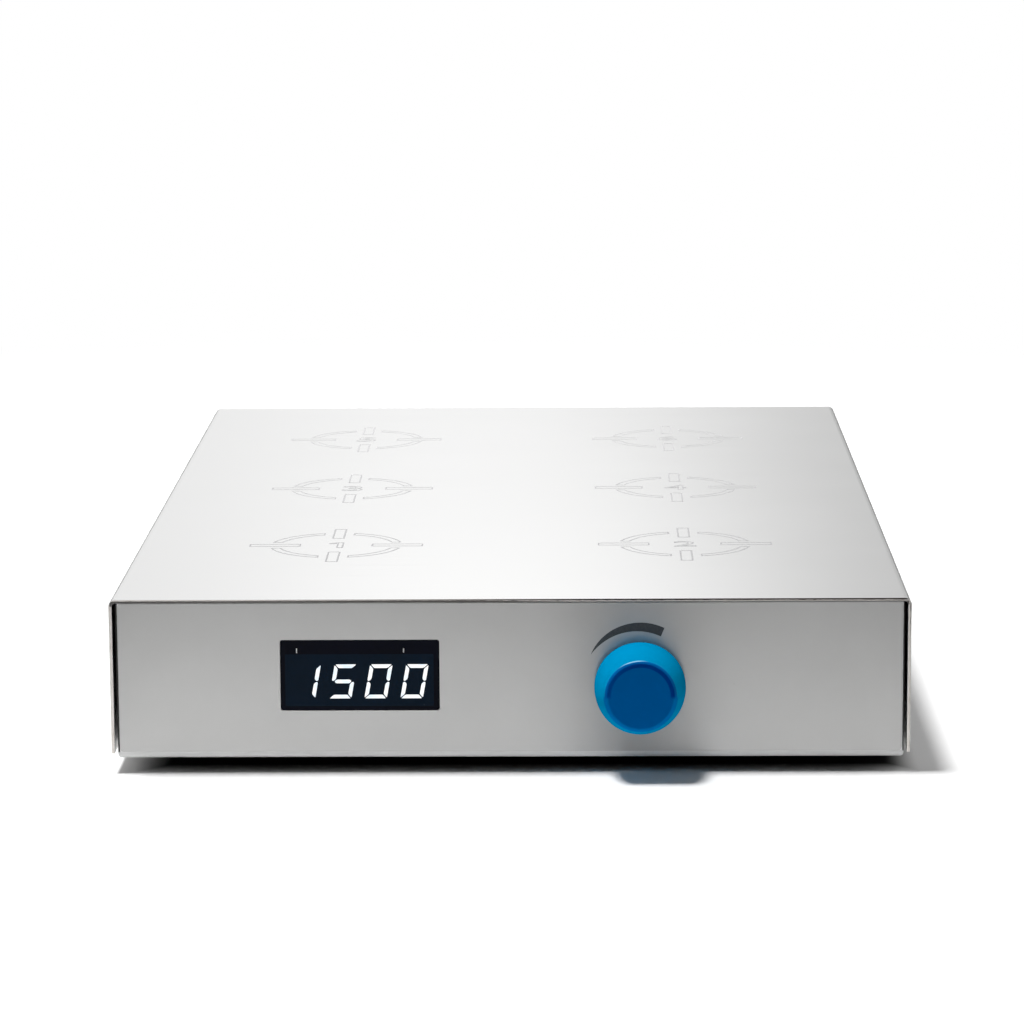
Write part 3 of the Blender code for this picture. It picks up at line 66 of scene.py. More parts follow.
MERGE_DISTANCE, WELD_DISTANCE = 2e-7, 2e-6
CREASE_ANGLE, KNOB_CREASE = 32, 24
FLAT_WEIGHT = 60
MITRE_LIMIT = 0.35


# ---- outlines

def centre(low, high):
    """The middle of a box."""
    return (np.array(low) + np.array(high)) / 2


def eased_corners(corners, ease, steps):
    """Each corner P becomes (1-s)^2 A + 2s(1-s) P + s^2 B, with A and B `ease` before and after."""
    corner = np.asarray(corners, float)
    before = np.roll(corner, 1, axis=0) - corner
    after = np.roll(corner, -1, axis=0) - corner
    before /= np.linalg.norm(before, axis=1, keepdims=True)
    after /= np.linalg.norm(after, axis=1, keepdims=True)
    s = np.linspace(0, 1, steps + 1)[None, :, None]
    start, end = corner + before * ease, corner + after * ease
    curve = (
        (1 - s) ** 2 * start[:, None] + 2 * s * (1 - s) * corner[:, None] + s ** 2 * end[:, None])
    return curve.reshape(-1, 2)


def box_corners(width, height, x=0.0, y=0.0):
    """Four corners at (x +- width / 2, y +- height / 2), anticlockwise."""
    signs = np.array([(-1, -1), (1, -1), (1, 1), (-1, 1)])
    return signs * (width / 2, height / 2) + (x, y)


def arc_line(radius, start, end, steps, x=0.0, y=0.0):
    """Points (x + r cos a, y + r sin a) for angles in degrees; the radius may change on the way."""
    angle = np.radians(np.linspace(start, end, steps + 1))
    return np.stack([x + radius * np.cos(angle), y + radius * np.sin(angle)], axis=1)


def mitres(outline):
    """Per point of a closed anticlockwise line, the inward vector that moves both edges by 1."""
    ahead = np.roll(outline, -1, axis=0) - outline
    ahead /= np.maximum(np.linalg.norm(ahead, axis=1, keepdims=True), 1e-12)
    inward = np.stack([-ahead[:, 1], ahead[:, 0]], axis=1)
    behind = np.roll(inward, 1, axis=0)
    share = 1 + np.sum(inward * behind, axis=1, keepdims=True)
    return (inward + behind) / np.maximum(share, MITRE_LIMIT)


def anticlockwise(line):
    """The same line, turned round if its signed area is negative."""
    x, y = line[:, 0], line[:, 1]
    area = np.sum(x * np.roll(y, -1) - y * np.roll(x, -1))
    return line if area > 0 else line[::-1]


# ---- surfaces

def grid_faces(rows, columns, close_rows=False):
    """Quads between neighbours in a grid of points stored row by row; each row is a closed ring."""
    row, column = np.meshgrid(
        np.arange(rows if close_rows else rows - 1), np.arange(columns), indexing="ij")
    next_row, next_column = (row + 1) % rows, (column + 1) % columns
    quads = [
        row * columns + column, row * columns + next_column,
        next_row * columns + next_column, next_row * columns + column,
    ]
    return np.stack(quads, axis=-1).reshape(-1, 4).tolist()


def carried(outline, origins, across, upward, insets):
    """A closed outline (u, v) carried along stations, both ends closed.

    Point = origin + u across + v upward, and the outline is drawn in by each station's inset.
    """
    rows, columns = len(origins), len(outline)
    across = np.broadcast_to(across, (rows, 3))
    upward = np.broadcast_to(upward, (rows, 3))
    drawn = outline[None] + insets[:, None, None] * mitres(outline)[None]
    points = (
        origins[:, None] + drawn[..., :1] * across[:, None] + drawn[..., 1:] * upward[:, None])
    faces = grid_faces(rows, columns)
    faces.append(list(range(columns))[::-1])
    faces.append(list(range((rows - 1) * columns, rows * columns)))
    return points.reshape(-1, 3), faces


def rounded_ends(low, high, edge, steps=4):
    """Heights and insets of a plate with quarter-round edges: e (1 - sin a) and e (1 - cos a)."""
    angle = np.radians(np.linspace(90, 0, steps + 1))
    height, inset = edge * (1 - np.sin(angle)), edge * (1 - np.cos(angle))
    return np.r_[low + height, (high - height)[::-1]], np.r_[inset, inset[::-1]]


def plate(outline, low, high, edge, facing="front", steps=1):
    """A plate with eased edges.  Facing top, front or back, (u, v) is (X, Y), (X, Z) or (-X, Z)."""
    heights, insets = rounded_ends(low, high, edge, steps)
    along, across, upward = {
        "top": ((0, 0, 1), (1, 0, 0), (0, 1, 0)),
        "front": ((0, -1, 0), (1, 0, 0), (0, 0, 1)),
        "back": ((0, 1, 0), (-1, 0, 0), (0, 0, 1)),
    }[facing]
    return carried(outline, heights[:, None] * along, across, upward, insets)


def turned(profile, steps, origin, axis):
    """A profile of (radius, height) round an axis: p = o + r cos a e1 + r sin a e2 + h axis."""
    profile = np.asarray(profile, float)
    axis = np.asarray(axis, float)
    first = np.cross(axis, (0.0, 0.0, 1.0) if abs(axis[2]) < 0.5 else (1.0, 0.0, 0.0))
    second = np.cross(axis, first)
    angle = np.linspace(0, 2 * np.pi, steps, endpoint=False)
    round_axis = np.cos(angle)[:, None] * first + np.sin(angle)[:, None] * second
    points = origin + profile[:, None, :1] * round_axis + profile[:, None, 1:] * axis
    return points.reshape(-1, 3), grid_faces(len(profile), steps)


def printed_line(line, width, low, high):
    """A closed line given a width and a height: a box section carried round it, mitred."""
    inward = mitres(line) * width / 2
    loops = np.stack([line - inward, line + inward, line + inward, line - inward])
    height = np.array([low, low, high, high])[:, None, None] * np.ones((1, len(line), 1))
    points = np.concatenate([loops, height], axis=2)
    return points.reshape(-1, 3), grid_faces(len(loops), len(line), close_rows=True)


def joined(parts):
    """Several (points, faces) pairs as one."""
    points, faces, start = [], [], 0
    for part_points, part_faces in parts:
        points.append(part_points)
        faces += [[corner + start for corner in face] for face in part_faces]
        start += len(part_points)
    return np.concatenate(points), faces


def new_object(name, data):
    """An object in the scene's own collection."""
    item = bpy.data.objects.new(name, data)
    bpy.context.scene.collection.objects.link(item)
    return item


def piece(name, surface, finish, slot, *stands_for, body="chassis", crease=CREASE_ANGLE):
    """A finished piece: doubles merged, faces turned outwards, smooth below the crease angle."""
    points, faces = surface
    mesh = bpy.data.meshes.new(name)
    mesh.from_pydata(points.tolist(), [], faces)
    bm = bmesh.new()
    bm.from_mesh(mesh)
    bmesh.ops.remove_doubles(bm, verts=bm.verts, dist=MERGE_DISTANCE)
    bmesh.ops.recalc_face_normals(bm, faces=bm.faces)
    bm.to_mesh(mesh)
    bm.free()
    mesh.shade_smooth()
    mesh.set_sharp_from_angle(angle=math.radians(crease))
    item = new_object(name, mesh)
    mesh.materials.append(finish)
    weigh_normals(item)
    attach(item, body)
    if stands_for:
        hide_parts(*stands_for)


def weigh_normals(item):
    """Large flat faces keep their own direction next to small rounded ones."""
    change = item.modifiers.new("flat faces", "WEIGHTED_NORMAL")
    change.mode = "FACE_AREA"
    change.weight = FLAT_WEIGHT
    change.keep_sharp = True


# ---- material making

def feed(socket, value):
    """Links another node's output to a socket, or sets the socket to a plain value."""
    if isinstance(value, bpy.types.NodeSocket):
        socket.id_data.links.new(value, socket)
    else:
        socket.default_value = value


def put(tree, kind, values=None, **settings):
    """Adds a node, sets its own settings, then feeds its sockets."""
    made = tree.nodes.new(kind)
    for key, value in settings.items():
        setattr(made, key, value)
    for key, value in (values or {}).items():
        feed(made.inputs[key], value)
    return made


def after(kind, values, **settings):
    """The outputs of a node that is added to the tree of its first linked value."""
    linked = next(value for value in values.values() if isinstance(value, bpy.types.NodeSocket))
    return put(linked.id_data, kind, values, **settings).outputs


def sums(operation, *values):
    """One sum over up to three values."""
    return after("ShaderNodeMath", dict(enumerate(values)), operation=operation)[0]


def product(result, *others):
    """All the values multiplied together."""
    for value in others:
        result = sums("MULTIPLY", result, value)
    return result


def away(value, middle=0.0):
    """How far a value is from a middle: |value - middle|."""
    return sums("ABSOLUTE", sums("SUBTRACT", value, middle))


def added(base, mask, amount):
    """The base plus the amount times the mask."""
    return sums("MULTIPLY_ADD", mask, amount, base)


def chosen(choice, one, other):
    """`one` where the choice is 1 and `other` where it is 0: other + choice (one - other)."""
    return sums("MULTIPLY_ADD", choice, sums("SUBTRACT", one, other), other)


def spread(value, low, high, new_low=0.0, new_high=1.0, way="LINEAR"):
    """A value that runs from low to high, made to run from new_low to new_high and held there."""
    return after(
        "ShaderNodeMapRange",
        {"Value": value, "From Min": low, "From Max": high, "To Min": new_low, "To Max": new_high},
        clamp=True, interpolation_type=way)[0]


def eased(*values):
    """The same, on a curve 3s^2 - 2s^3."""
    return spread(*values, way="SMOOTHSTEP")


def near(value, base, low, high, *levels):
    """The same as `spread`, with low and high in millimetres from a base."""
    return spread(value, base + low * MM, base + high * MM, *levels)


def blended(factor, first, second):
    """The first colour where the factor is 0 and the second where it is 1."""
    return after("ShaderNodeMix", {0: factor, 6: first, 7: second}, data_type="RGBA")[2]


def tinted(value, dark, light, low=0.3, high=0.7):
    """A colour between two as a value rises from low to high."""
    return blended(spread(value, low, high), (*dark, 1), (*light, 1))


def washed(colour, tint, *masks):
    """A colour moved to a tint by the product of the masks."""
    return blended(product(*masks), colour, (*tint, 1))


def object_place(tree):
    """The place in the object's own coordinates."""
    return tree.nodes.new("ShaderNodeTexCoord").outputs["Object"]


def vectors(operation, *values):
    """One sum over places."""
    return after("ShaderNodeVectorMath", dict(enumerate(values)), operation=operation)


def scaled(where, factors):
    """A place times a factor for each axis."""
    return vectors("MULTIPLY", where, factors)[0]


def apart(where):
    """The x, y and z of a place."""
    return after("ShaderNodeSeparateXYZ", {0: where})


def noise(where, scale, detail=2.0, roughness=0.5):
    """A noise value over a place."""
    return after(
        "ShaderNodeTexNoise",
        {"Vector": where, "Scale": scale, "Detail": detail, "Roughness": roughness})["Fac"]


def cells(where, scale, randomness=1.0, distance="EUCLIDEAN"):
    """Cells round scattered points: each cell's own colour, and the distance to its point."""
    return after(
        "ShaderNodeTexVoronoi", {"Vector": where, "Scale": scale, "Randomness": randomness},
        feature="F1", distance=distance)


def bump(height, depth):
    """A normal that follows a height times the depth in millimetres."""
    return after("ShaderNodeBump", {"Height": height, "Distance": depth * MM, "Strength": 1.0})[0]


def brushed_lines(place, stretch):
    """Long fine scratches: two noises squeezed across the brushing direction, and a slow tone."""
    fine = scaled(place, stretch)
    line = product(noise(fine, 3.0, 3.0, 0.6), 0.65)
    line = added(line, noise(scaled(fine, (0.4, 0.22, 0.22)), 3.0), 0.35)
    return line, noise(place, 9.0, 3.0)


def handling_marks(place, size):
    """Soft wiped patches where a noise is high, and a few dust specks at some cells' points."""
    patch = noise(scaled(place, (1.0, 1.4, 1.2)), size, 4.0, 0.55)
    small = spread(cells(place, 260.0)["Distance"], 0.11, 0.05)
    few = spread(noise(place, 95.0, 1.0), 0.62, 0.70)
    return eased(patch, 0.42, 0.68), product(small, few)


def moulded_grain(place, scale):
    """The fine pitted skin of a moulded part, as a height, with a slow change of tone."""
    return noise(place, scale, 3.0, 0.6), noise(place, 70.0, 3.0)


def worn_edges(place, reach):
    """1 where a rounded normal leaves the true one, so along edges, broken up by a noise."""
    soft = after("ShaderNodeBevel", {"Radius": reach}, samples=4)[0]
    true = place.id_data.nodes.new("ShaderNodeNewGeometry").outputs["Normal"]
    edge = eased(vectors("DOT_PRODUCT", soft, true)["Value"], 0.99, 0.80)
    return (product(edge, spread(noise(place, 420.0, 3.0), 0.35, 0.65, 0.35)),)


def group(name, label, value, gives, build):
    """A node group with one input, whose outputs get what `build` gives, in that order."""
    tree = bpy.data.node_groups.new(name, "ShaderNodeTree")
    kind = "NodeSocketVector" if isinstance(value, tuple) else "NodeSocketFloat"
    socket = tree.interface.new_socket(name=label, in_out="INPUT", socket_type=kind)
    socket.default_value = value
    for given in gives:
        tree.interface.new_socket(name=given, in_out="OUTPUT", socket_type="NodeSocketFloat")
    asked = tree.nodes.new("NodeGroupInput").outputs[0]
    ends = tree.nodes.new("NodeGroupOutput").inputs
    for end, made in zip(ends, build(object_place(tree), asked)):
        feed(end, made)
    return tree


BRUSHED = group("brushed lines", "Stretch", (6, 900, 900), ("Line", "Tone"), brushed_lines)
MARKS = group("handling marks", "Size", 22.0, ("Wipe", "Dust"), handling_marks)
GRAIN = group("moulded grain", "Scale", 2600.0, ("Height", "Tone"), moulded_grain)
WORN = group("worn edges", "Reach", 0.6 * MM, ("Wear",), worn_edges)


def use(tree, shared, value):
    """The outputs of a shared group, in their order, with its one input set."""
    return put(tree, "ShaderNodeGroup", {0: value}, node_tree=shared).outputs


def worn(tree, reach):
    """The wear along edges, with its reach in millimetres."""
    return use(tree, WORN, reach * MM)[0]


def material(name, build, *values):
    """A material whose Principled shader gets the sockets that `build` gives, by their names."""
    made = bpy.data.materials.new(name)
    made.use_nodes = True
    shader = made.node_tree.nodes["Principled BSDF"]
    for key, value in build(made.node_tree, *values).items():
        feed(shader.inputs[key.replace("_", " ")], value)
    return made


# ---- materials

FACE_DARK, FACE_LIGHT, FACE_TONE = (0.815, 0.815, 0.81), (0.85, 0.85, 0.845), (0.87, 0.87, 0.865)
FACE_DUST = (0.6, 0.59, 0.57)
RIM_DARK, RIM_LIGHT = (0.87, 0.82, 0.765), (0.99, 0.95, 0.91)
# the second colour on the next line is painted shade, for the lower part of the sheared rim
RIM_RIGHT, RIM_SHADE, BURR_BROWN = (0.70, 0.66, 0.63), (0.12, 0.115, 0.11), (0.035, 0.024, 0.018)
RIM_PART, BURR_LEAST, BURR_MORE = 0.45 * MM, 0.06 * MM, 0.8 * MM


def brushed_cover(tree):
    """Fine lines along X on bright sheet.  The sheared rims, found from Y and Z, are paler and
    duller.  Along the front of the top they darken to the right.  Their lower part, below a depth
    of 0.45 mm on the left and 0.9 mm on the right, is painted shade, nearly black, and a ragged
    burr on the outer side is nearly black too."""
    x, y, z = apart(object_place(tree))
    lines, tone = use(tree, BRUSHED, (7, 1100, 1100))
    wipe, dust = use(tree, MARKS, 16.0)
    sheared = sums("MAXIMUM", near(y, FRONT, 0.2, 0.06), sums(
        "MAXIMUM", near(y, BACK, -0.3, -0.1), near(z, COVER_LOW.z, 0.3, 0.1)))
    depth = sums("MINIMUM", sums("SUBTRACT", TOP, z), sums("SUBTRACT", HALF_WIDTH, away(x)))
    ragged = noise(scaled(object_place(tree), (1.0, 0.2, 1.0)), 260.0, 3.0, 0.6)
    right = eased(x, -0.02, 0.03)
    along_top = near(z, TOP, -2.6, -2.0)
    lower = sums("SUBTRACT", depth, added(RIM_PART, right, RIM_PART))
    inner = sums("SUBTRACT", depth, added(BURR_LEAST, ragged, BURR_MORE))
    burr = product(
        near(inner, 0, 0.08, -0.08), near(y, FRONT, 0.4, 0.3), spread(x, -0.10, 0.03, 0.15),
        near(z, TOP, -14, -4, 0.15))
    rim = tinted(ragged, RIM_DARK, RIM_LIGHT, 0.35, 0.65)
    rim = washed(rim, RIM_RIGHT, right, along_top)
    # painted shade: the lower part of the sheared rim along the top is made nearly black
    rim = washed(rim, RIM_SHADE, near(lower, 0, -0.05, 0.05), along_top)
    colour = tinted(lines, FACE_DARK, FACE_LIGHT, 0.36, 0.62)
    colour = washed(colour, FACE_TONE, tone, 0.08)
    colour = washed(colour, FACE_DUST, dust, 0.12)
    colour = washed(blended(sheared, colour, rim), BURR_BROWN, burr)
    roughness = added(spread(lines, 0.3, 0.7, 0.17, 0.22), wipe, 0.02)
    return dict(
        Base_Color=colour, Roughness=added(roughness, sheared, 0.25),
        Metallic=spread(sheared, 0.0, 1.0, 1.0, 0.3), Normal=bump(lines, 0.003))


ZINC_DARK, ZINC_LIGHT, ZINC_WORN = (0.76, 0.765, 0.76), (0.80, 0.805, 0.80), (0.80, 0.80, 0.79)
# painted shade: the first colour darkens the tray's underside, the second blackens the bends beside
# the film
ZINC_UNDERSIDE_SHADE, ZINC_GAP_SHADE = (0.03, 0.03, 0.03), (0.01, 0.01, 0.01)


def spangled_zinc(tree):
    """Galvanised sheet: crystals of slightly different tone, with soft roughness; dull and dark
    below, and nearly black on the two upright bends beside the film, both as painted shade."""
    place = object_place(tree)
    x, y, z = apart(place)
    shift = after("ShaderNodeTexNoise", {"Vector": place, "Scale": 160.0})["Color"]
    bent = vectors("ADD", place, scaled(shift, (4 * MM, 4 * MM, 4 * MM)))[0]
    tone = after("ShaderNodeSeparateColor", {0: cells(bent, 150.0)["Color"]})[0]
    # painted shade: the upright bends beside the film, at the front and above its lower edge
    bend = product(
        near(away(x, 0.1 * MM), FILM_HIGH.x, 0.1, 0.2), near(y, FRONT, 8, 5),
        near(z, FILM_LOW.z, -0.5, 0))
    colour = tinted(tone, ZINC_DARK, ZINC_LIGHT, 0.0, 1.0)
    # painted shade: the underside of the tray is made dark
    colour = washed(colour, ZINC_UNDERSIDE_SHADE, near(z, TRAY_LOW, 0.05, 0.01), 0.85)
    colour = washed(colour, ZINC_WORN, worn(tree, 0.6), 0.4)
    return dict(
        Metallic=0.15, Specular_IOR_Level=0.4, Base_Color=washed(colour, ZINC_GAP_SHADE, bend),
        Roughness=spread(tone, 0.0, 1.0, 0.38, 0.52), Normal=bump(noise(place, 900.0, 3.0), 0.01))


FILM_DARK, FILM_LIGHT, FILM_DUST = (0.545, 0.545, 0.54), (0.56, 0.56, 0.555), (0.35, 0.34, 0.32)


def satin_film(tree):
    """Satin silver film, drawn along X so that its reflections spread upwards and downwards."""
    grain, tone = use(tree, GRAIN, 3800.0)
    wipe, dust = use(tree, MARKS, 26.0)
    return dict(
        Metallic=0.8, Specular_IOR_Level=0.3, Anisotropic=0.8,
        Base_Color=washed(tinted(tone, FILM_DARK, FILM_LIGHT), FILM_DUST, dust, 0.18),
        Roughness=added(0.31, wipe, 0.015), Normal=bump(grain, 0.006),
        Tangent=put(tree, "ShaderNodeCombineXYZ", {0: 0.0, 1: 0.0, 2: 1.0}).outputs[0])


def ink(tree, dark, light, back_tint=None):
    """Printed ink, a little porous, so that the tone changes along the line; it may get lighter
    towards the back."""
    place = object_place(tree)
    pores = noise(place, 1500.0, 3.0, 0.65)
    colour = tinted(pores, dark, light)
    if back_tint:
        colour = washed(colour, back_tint, spread(apart(place)[1], -0.14, 0.14, 0.0, 0.42))
    return dict(
        Specular_IOR_Level=0.3, Base_Color=colour, Roughness=spread(pores, 0.3, 0.7, 0.45, 0.62),
        Normal=bump(pores, 0.008))


PLASTIC_WORN, PLASTIC_DUST = (0.2, 0.2, 0.2), (0.4, 0.4, 0.39)


def plastic(tree, dark, light, rough, scale=2600.0, depth=0.01):
    """Moulded plastic: pitted skin, slow change of tone, wiped patches and rubbed edges."""
    grain, tone = use(tree, GRAIN, scale)
    wipe, dust = use(tree, MARKS, 60.0)
    colour = washed(tinted(tone, dark, light), PLASTIC_WORN, worn(tree, 0.4), 0.3)
    return dict(
        Base_Color=washed(colour, PLASTIC_DUST, dust, 0.15), Roughness=added(rough, wipe, 0.07),
        Normal=bump(grain, depth))


# the last colour on the next line is painted shade for the knob's front
SIDE_DARK, SIDE_LIGHT, KNOB_FRONT_SHADE = (0.0, 0.27, 0.54), (0.0, 0.285, 0.57), (0.0, 0.11, 0.385)
# the colours on the next line are painted light on the lower rim, painted shade in the navy ring
# and a painted highlight on the nose
LOWER_RIM_LIGHT, NAVY_RING_SHADE, PAINTED_HIGHLIGHT = (0.0, 0.155, 0.47), (0.0, 0.045, 0.26), (0.45, 0.80, 0.95)


def knob_plastic(tree):
    """Blue moulding; its front, found from Y and from the distance to the knob's axis, is a deeper
    blue as painted shade.  Its upper half has a navy ring of painted shade round the edge, weaker
    on the left, and a small painted highlight on the nose, and its lower half a bluer rim of
    painted light.  All in millimetres from the middle of the front."""
    place = vectors("SUBTRACT", object_place(tree), (KNOB_X, KNOB_LOW.y, KNOB_Z))[0]
    x, y, z = apart(scaled(place, (1 / MM, 1 / MM, 1 / MM)))
    radius = sums("SQRT", sums("ADD", product(x, x), product(z, z)))
    front, upper = eased(y, 1.5, 0.5), eased(z, -1.0, 0.5)
    # painted shade: a navy ring round the upper half of the front edge, weaker on the left
    ring = product(
        eased(radius, 10.1, 10.6), eased(radius, 11.9, 11.6), spread(x, -10, -3, 0.7), front, upper)
    # painted light: a bluer rim on the lower half of the front
    painted_rim_light = product(
        eased(radius, 10.8, 11.6), eased(y, 2.6, 1.6), sums("SUBTRACT", 1.0, upper))
    # painted highlight on the upper left of the nose
    highlight_mask = product(
        spread(y, 0.65, 0.9), spread(y, 1.5, 1.1), eased(away(x, -2.6), 1.0, 5.5, 0.7, 0.0), upper)
    grain, tone = use(tree, GRAIN, 3000.0)
    wipe, _ = use(tree, MARKS, 70.0)
    # painted shade: the front is a deeper blue than the side
    colour = washed(tinted(tone, SIDE_DARK, SIDE_LIGHT), KNOB_FRONT_SHADE, front)
    colour = washed(colour, LOWER_RIM_LIGHT, painted_rim_light)
    colour = washed(colour, NAVY_RING_SHADE, ring)
    return dict(
        Specular_IOR_Level=0.0, Coat_Roughness=0.2,
        Coat_Weight=product(spread(y, 0.15, 0.5), eased(y, 2.4, 1.3), upper, 0.12),
        Base_Color=washed(colour, PAINTED_HIGHLIGHT, highlight_mask), Roughness=added(0.24, wipe, 0.06),
        Normal=bump(grain, 0.003))


WINDOW_DUST = (0.3, 0.32, 0.34)


def window_gloss(tree, dark, light, rough):
    """Smoked acrylic: near black, polished, with faint wiped patches and dust."""
    wipe, dust = use(tree, MARKS, 48.0)
    return dict(
        Specular_IOR_Level=0.04, Roughness=added(rough, wipe, 0.05),
        Base_Color=washed(tinted(wipe, dark, light, 0.0, 1.0), WINDOW_DUST, dust, 0.12))


def lit_segment(tree):
    """White light with a slightly cooler, dimmer patch here and there."""
    patch = noise(object_place(tree), 330.0, 1.0)
    return dict(
        Emission_Strength=0.95, Roughness=0.4, Specular_IOR_Level=0.2,
        Emission_Color=tinted(patch, (0.78, 0.90, 1.0), (1.0, 1.0, 1.0), 0.32, 0.55),
        Base_Color=tinted(patch, (0.2, 0.22, 0.24), (0.25, 0.25, 0.25)))


def rubber(tree, dark, light, scale):
    """Dull rubber: a fine skin as height, and slow chalky patches that are lighter and rougher."""
    skin = noise(object_place(tree), scale, 4.0, 0.65)
    chalk = noise(object_place(tree), 45.0, 3.0)
    return dict(
        Specular_IOR_Level=0.3, Base_Color=tinted(chalk, dark, light, 0.35, 0.75),
        Roughness=spread(chalk, 0.3, 0.7, 0.72, 0.9), Normal=bump(skin, 0.03))


MASK_GREEN, COPPER_GREEN, PAD_TIN = (0.008, 0.075, 0.03), (0.016, 0.13, 0.05), (0.62, 0.60, 0.55)


def circuit_board(tree):
    """Green solder mask over copper tracks: straight cells whose borders lie a little higher."""
    place = object_place(tree)
    tracks = cells(place, 240.0, 0.75, "CHEBYCHEV")["Distance"]
    copper = spread(tracks, 0.34, 0.40)
    pad = spread(cells(place, 330.0)["Distance"], 0.14, 0.10)
    return dict(
        Specular_IOR_Level=0.5,
        Base_Color=washed(washed((*MASK_GREEN, 1), COPPER_GREEN, copper), PAD_TIN, pad),
        Roughness=spread(tracks, 0.0, 0.5, 0.28, 0.40), Normal=bump(copper, 0.03))


SLEEVE_LIGHT, SLEEVE_DARK, SLEEVE_TONE = (0.36, 0.37, 0.39), (0.20, 0.21, 0.22), (0.5, 0.5, 0.5)


def ribbed_cable(tree, scale):
    """Grey sleeve with ridges along it."""
    ridge = after(
        "ShaderNodeTexWave", {"Vector": object_place(tree), "Scale": scale},
        bands_direction="X")["Fac"]
    tone = noise(object_place(tree), 120.0, 3.0)
    colour = washed((*SLEEVE_LIGHT, 1), SLEEVE_DARK, ridge, 0.5)
    return dict(
        Specular_IOR_Level=0.4, Base_Color=washed(colour, SLEEVE_TONE, tone, 0.2),
        Roughness=spread(tone, 0.3, 0.7, 0.45, 0.6), Normal=bump(ridge, 0.1))


def turned_metal(tree, dark, light, rough):
    """Fine lathe marks: noise squeezed along Z, so that it runs in rings about upright axes."""
    lines = use(tree, BRUSHED, (25, 25, 1300))[0]
    colour = washed(tinted(lines, dark, light, 0.35, 0.65), light, worn(tree, 0.4), 0.4)
    return dict(
        Metallic=1.0, Base_Color=colour,
        Roughness=spread(lines, 0.3, 0.7, rough - 0.06, rough + 0.08), Normal=bump(lines, 0.01))


STONE_DARK, STONE_LIGHT, STONE_CHIP = (0.055, 0.055, 0.06), (0.10, 0.10, 0.105), (0.22, 0.22, 0.22)


def magnet_stone(tree):
    """Pressed ferrite: dark, granular, chipped along the edges."""
    grain = noise(object_place(tree), 2200.0, 4.0, 0.7)
    return dict(
        Metallic=0.25, Roughness=spread(grain, 0.3, 0.7, 0.5, 0.7), Normal=bump(grain, 0.03),
        Base_Color=washed(
            tinted(grain, STONE_DARK, STONE_LIGHT), STONE_CHIP, worn(tree, 0.5), 0.6))


COVER_STEEL = material("brushed cover", brushed_cover)
PIN_STEEL = material("bright pin", turned_metal, (0.60, 0.60, 0.59), (0.74, 0.74, 0.73), 0.24)
SCREW_STEEL = material("screw steel", turned_metal, (0.55, 0.55, 0.54), (0.70, 0.70, 0.69), 0.28)
TRAY_ZINC = material("tray zinc", spangled_zinc)
GREY_FILM = material("grey film", satin_film)
WINDOW_BLACK = material(
    "window border", window_gloss, (0.002, 0.0028, 0.008), (0.003, 0.004, 0.011), 0.08)
WINDOW_FIELD = material(
    "window field", window_gloss, (0.003, 0.011, 0.024), (0.004, 0.013, 0.028), 0.12)
LIT_SEGMENT = material("lit segment", lit_segment)
KNOB_BLUE = material("knob blue", knob_plastic)
FOOT_RUBBER = material("foot rubber", rubber, (0.012, 0.012, 0.012), (0.025, 0.025, 0.024), 1400.0)
BELT_RUBBER = material("belt rubber", rubber, (0.015, 0.016, 0.014), (0.035, 0.036, 0.033), 2600.0)
SOCKET_BLACK = material(
    "socket black", plastic, (0.012, 0.012, 0.013), (0.018, 0.018, 0.019), 0.34)
KEY_BLACK = material(
    "key black", plastic, (0.014, 0.014, 0.015), (0.020, 0.020, 0.021), 0.22, 3600.0, 0.004)
MODULE_GREY = material("module grey", plastic, (0.045, 0.045, 0.05), (0.06, 0.06, 0.065), 0.45)
BOARD_GREEN = material("board green", circuit_board)
RIBBON_GREY = material("ribbon grey", ribbed_cable, 250.0)
LEAD_GREY = material("lead grey", ribbed_cable, 90.0)
BUSH_BRONZE = material("bush bronze", turned_metal, (0.42, 0.25, 0.10), (0.60, 0.38, 0.17), 0.38)
ROTOR_ALUMINIUM = material(
    "rotor aluminium", turned_metal, (0.60, 0.61, 0.62), (0.74, 0.75, 0.76), 0.32)
MAGNET_FERRITE = material("magnet ferrite", magnet_stone)
MARK_GREY = material(
    "mark grey", ink, (0.35, 0.35, 0.355), (0.44, 0.44, 0.445), (0.78, 0.78, 0.78))
WEDGE_GREY = material("wedge grey", ink, (0.06, 0.062, 0.066), (0.09, 0.092, 0.095))
WHITE_INK = material("white ink", ink, (0.62, 0.63, 0.64), (0.80, 0.81, 0.82))

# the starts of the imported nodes' names, and what those nodes wear
FINISHES = {
    "top_cover": COVER_STEEL, "base_tray drive_bridge": TRAY_ZINC, "front_overlay": GREY_FILM,
    "display_window": WINDOW_BLACK, "knob": KNOB_BLUE, "rocker_key": KEY_BLACK,
    "encoder_nut motor_bell cover_screw_": SCREW_STEEL, "motor_shaft spindle_": PIN_STEEL,
    "encoder_shaft motor_base drive_pulley stir_rotor_": ROTOR_ALUMINIUM,
    "display_module encoder_wheel": MODULE_GREY,
    "encoder_body mains_inlet switch_housing": SOCKET_BLACK,
    "display_board main_board": BOARD_GREEN, "display_ribbon": RIBBON_GREY,
    "mains_lead": LEAD_GREY, "foot_": FOOT_RUBBER, "rotor_bush_": BUSH_BRONZE,
    "bar_magnet_": MAGNET_FERRITE, "front_belt_ rear_belt_ motor_belt_": BELT_RUBBER,
}


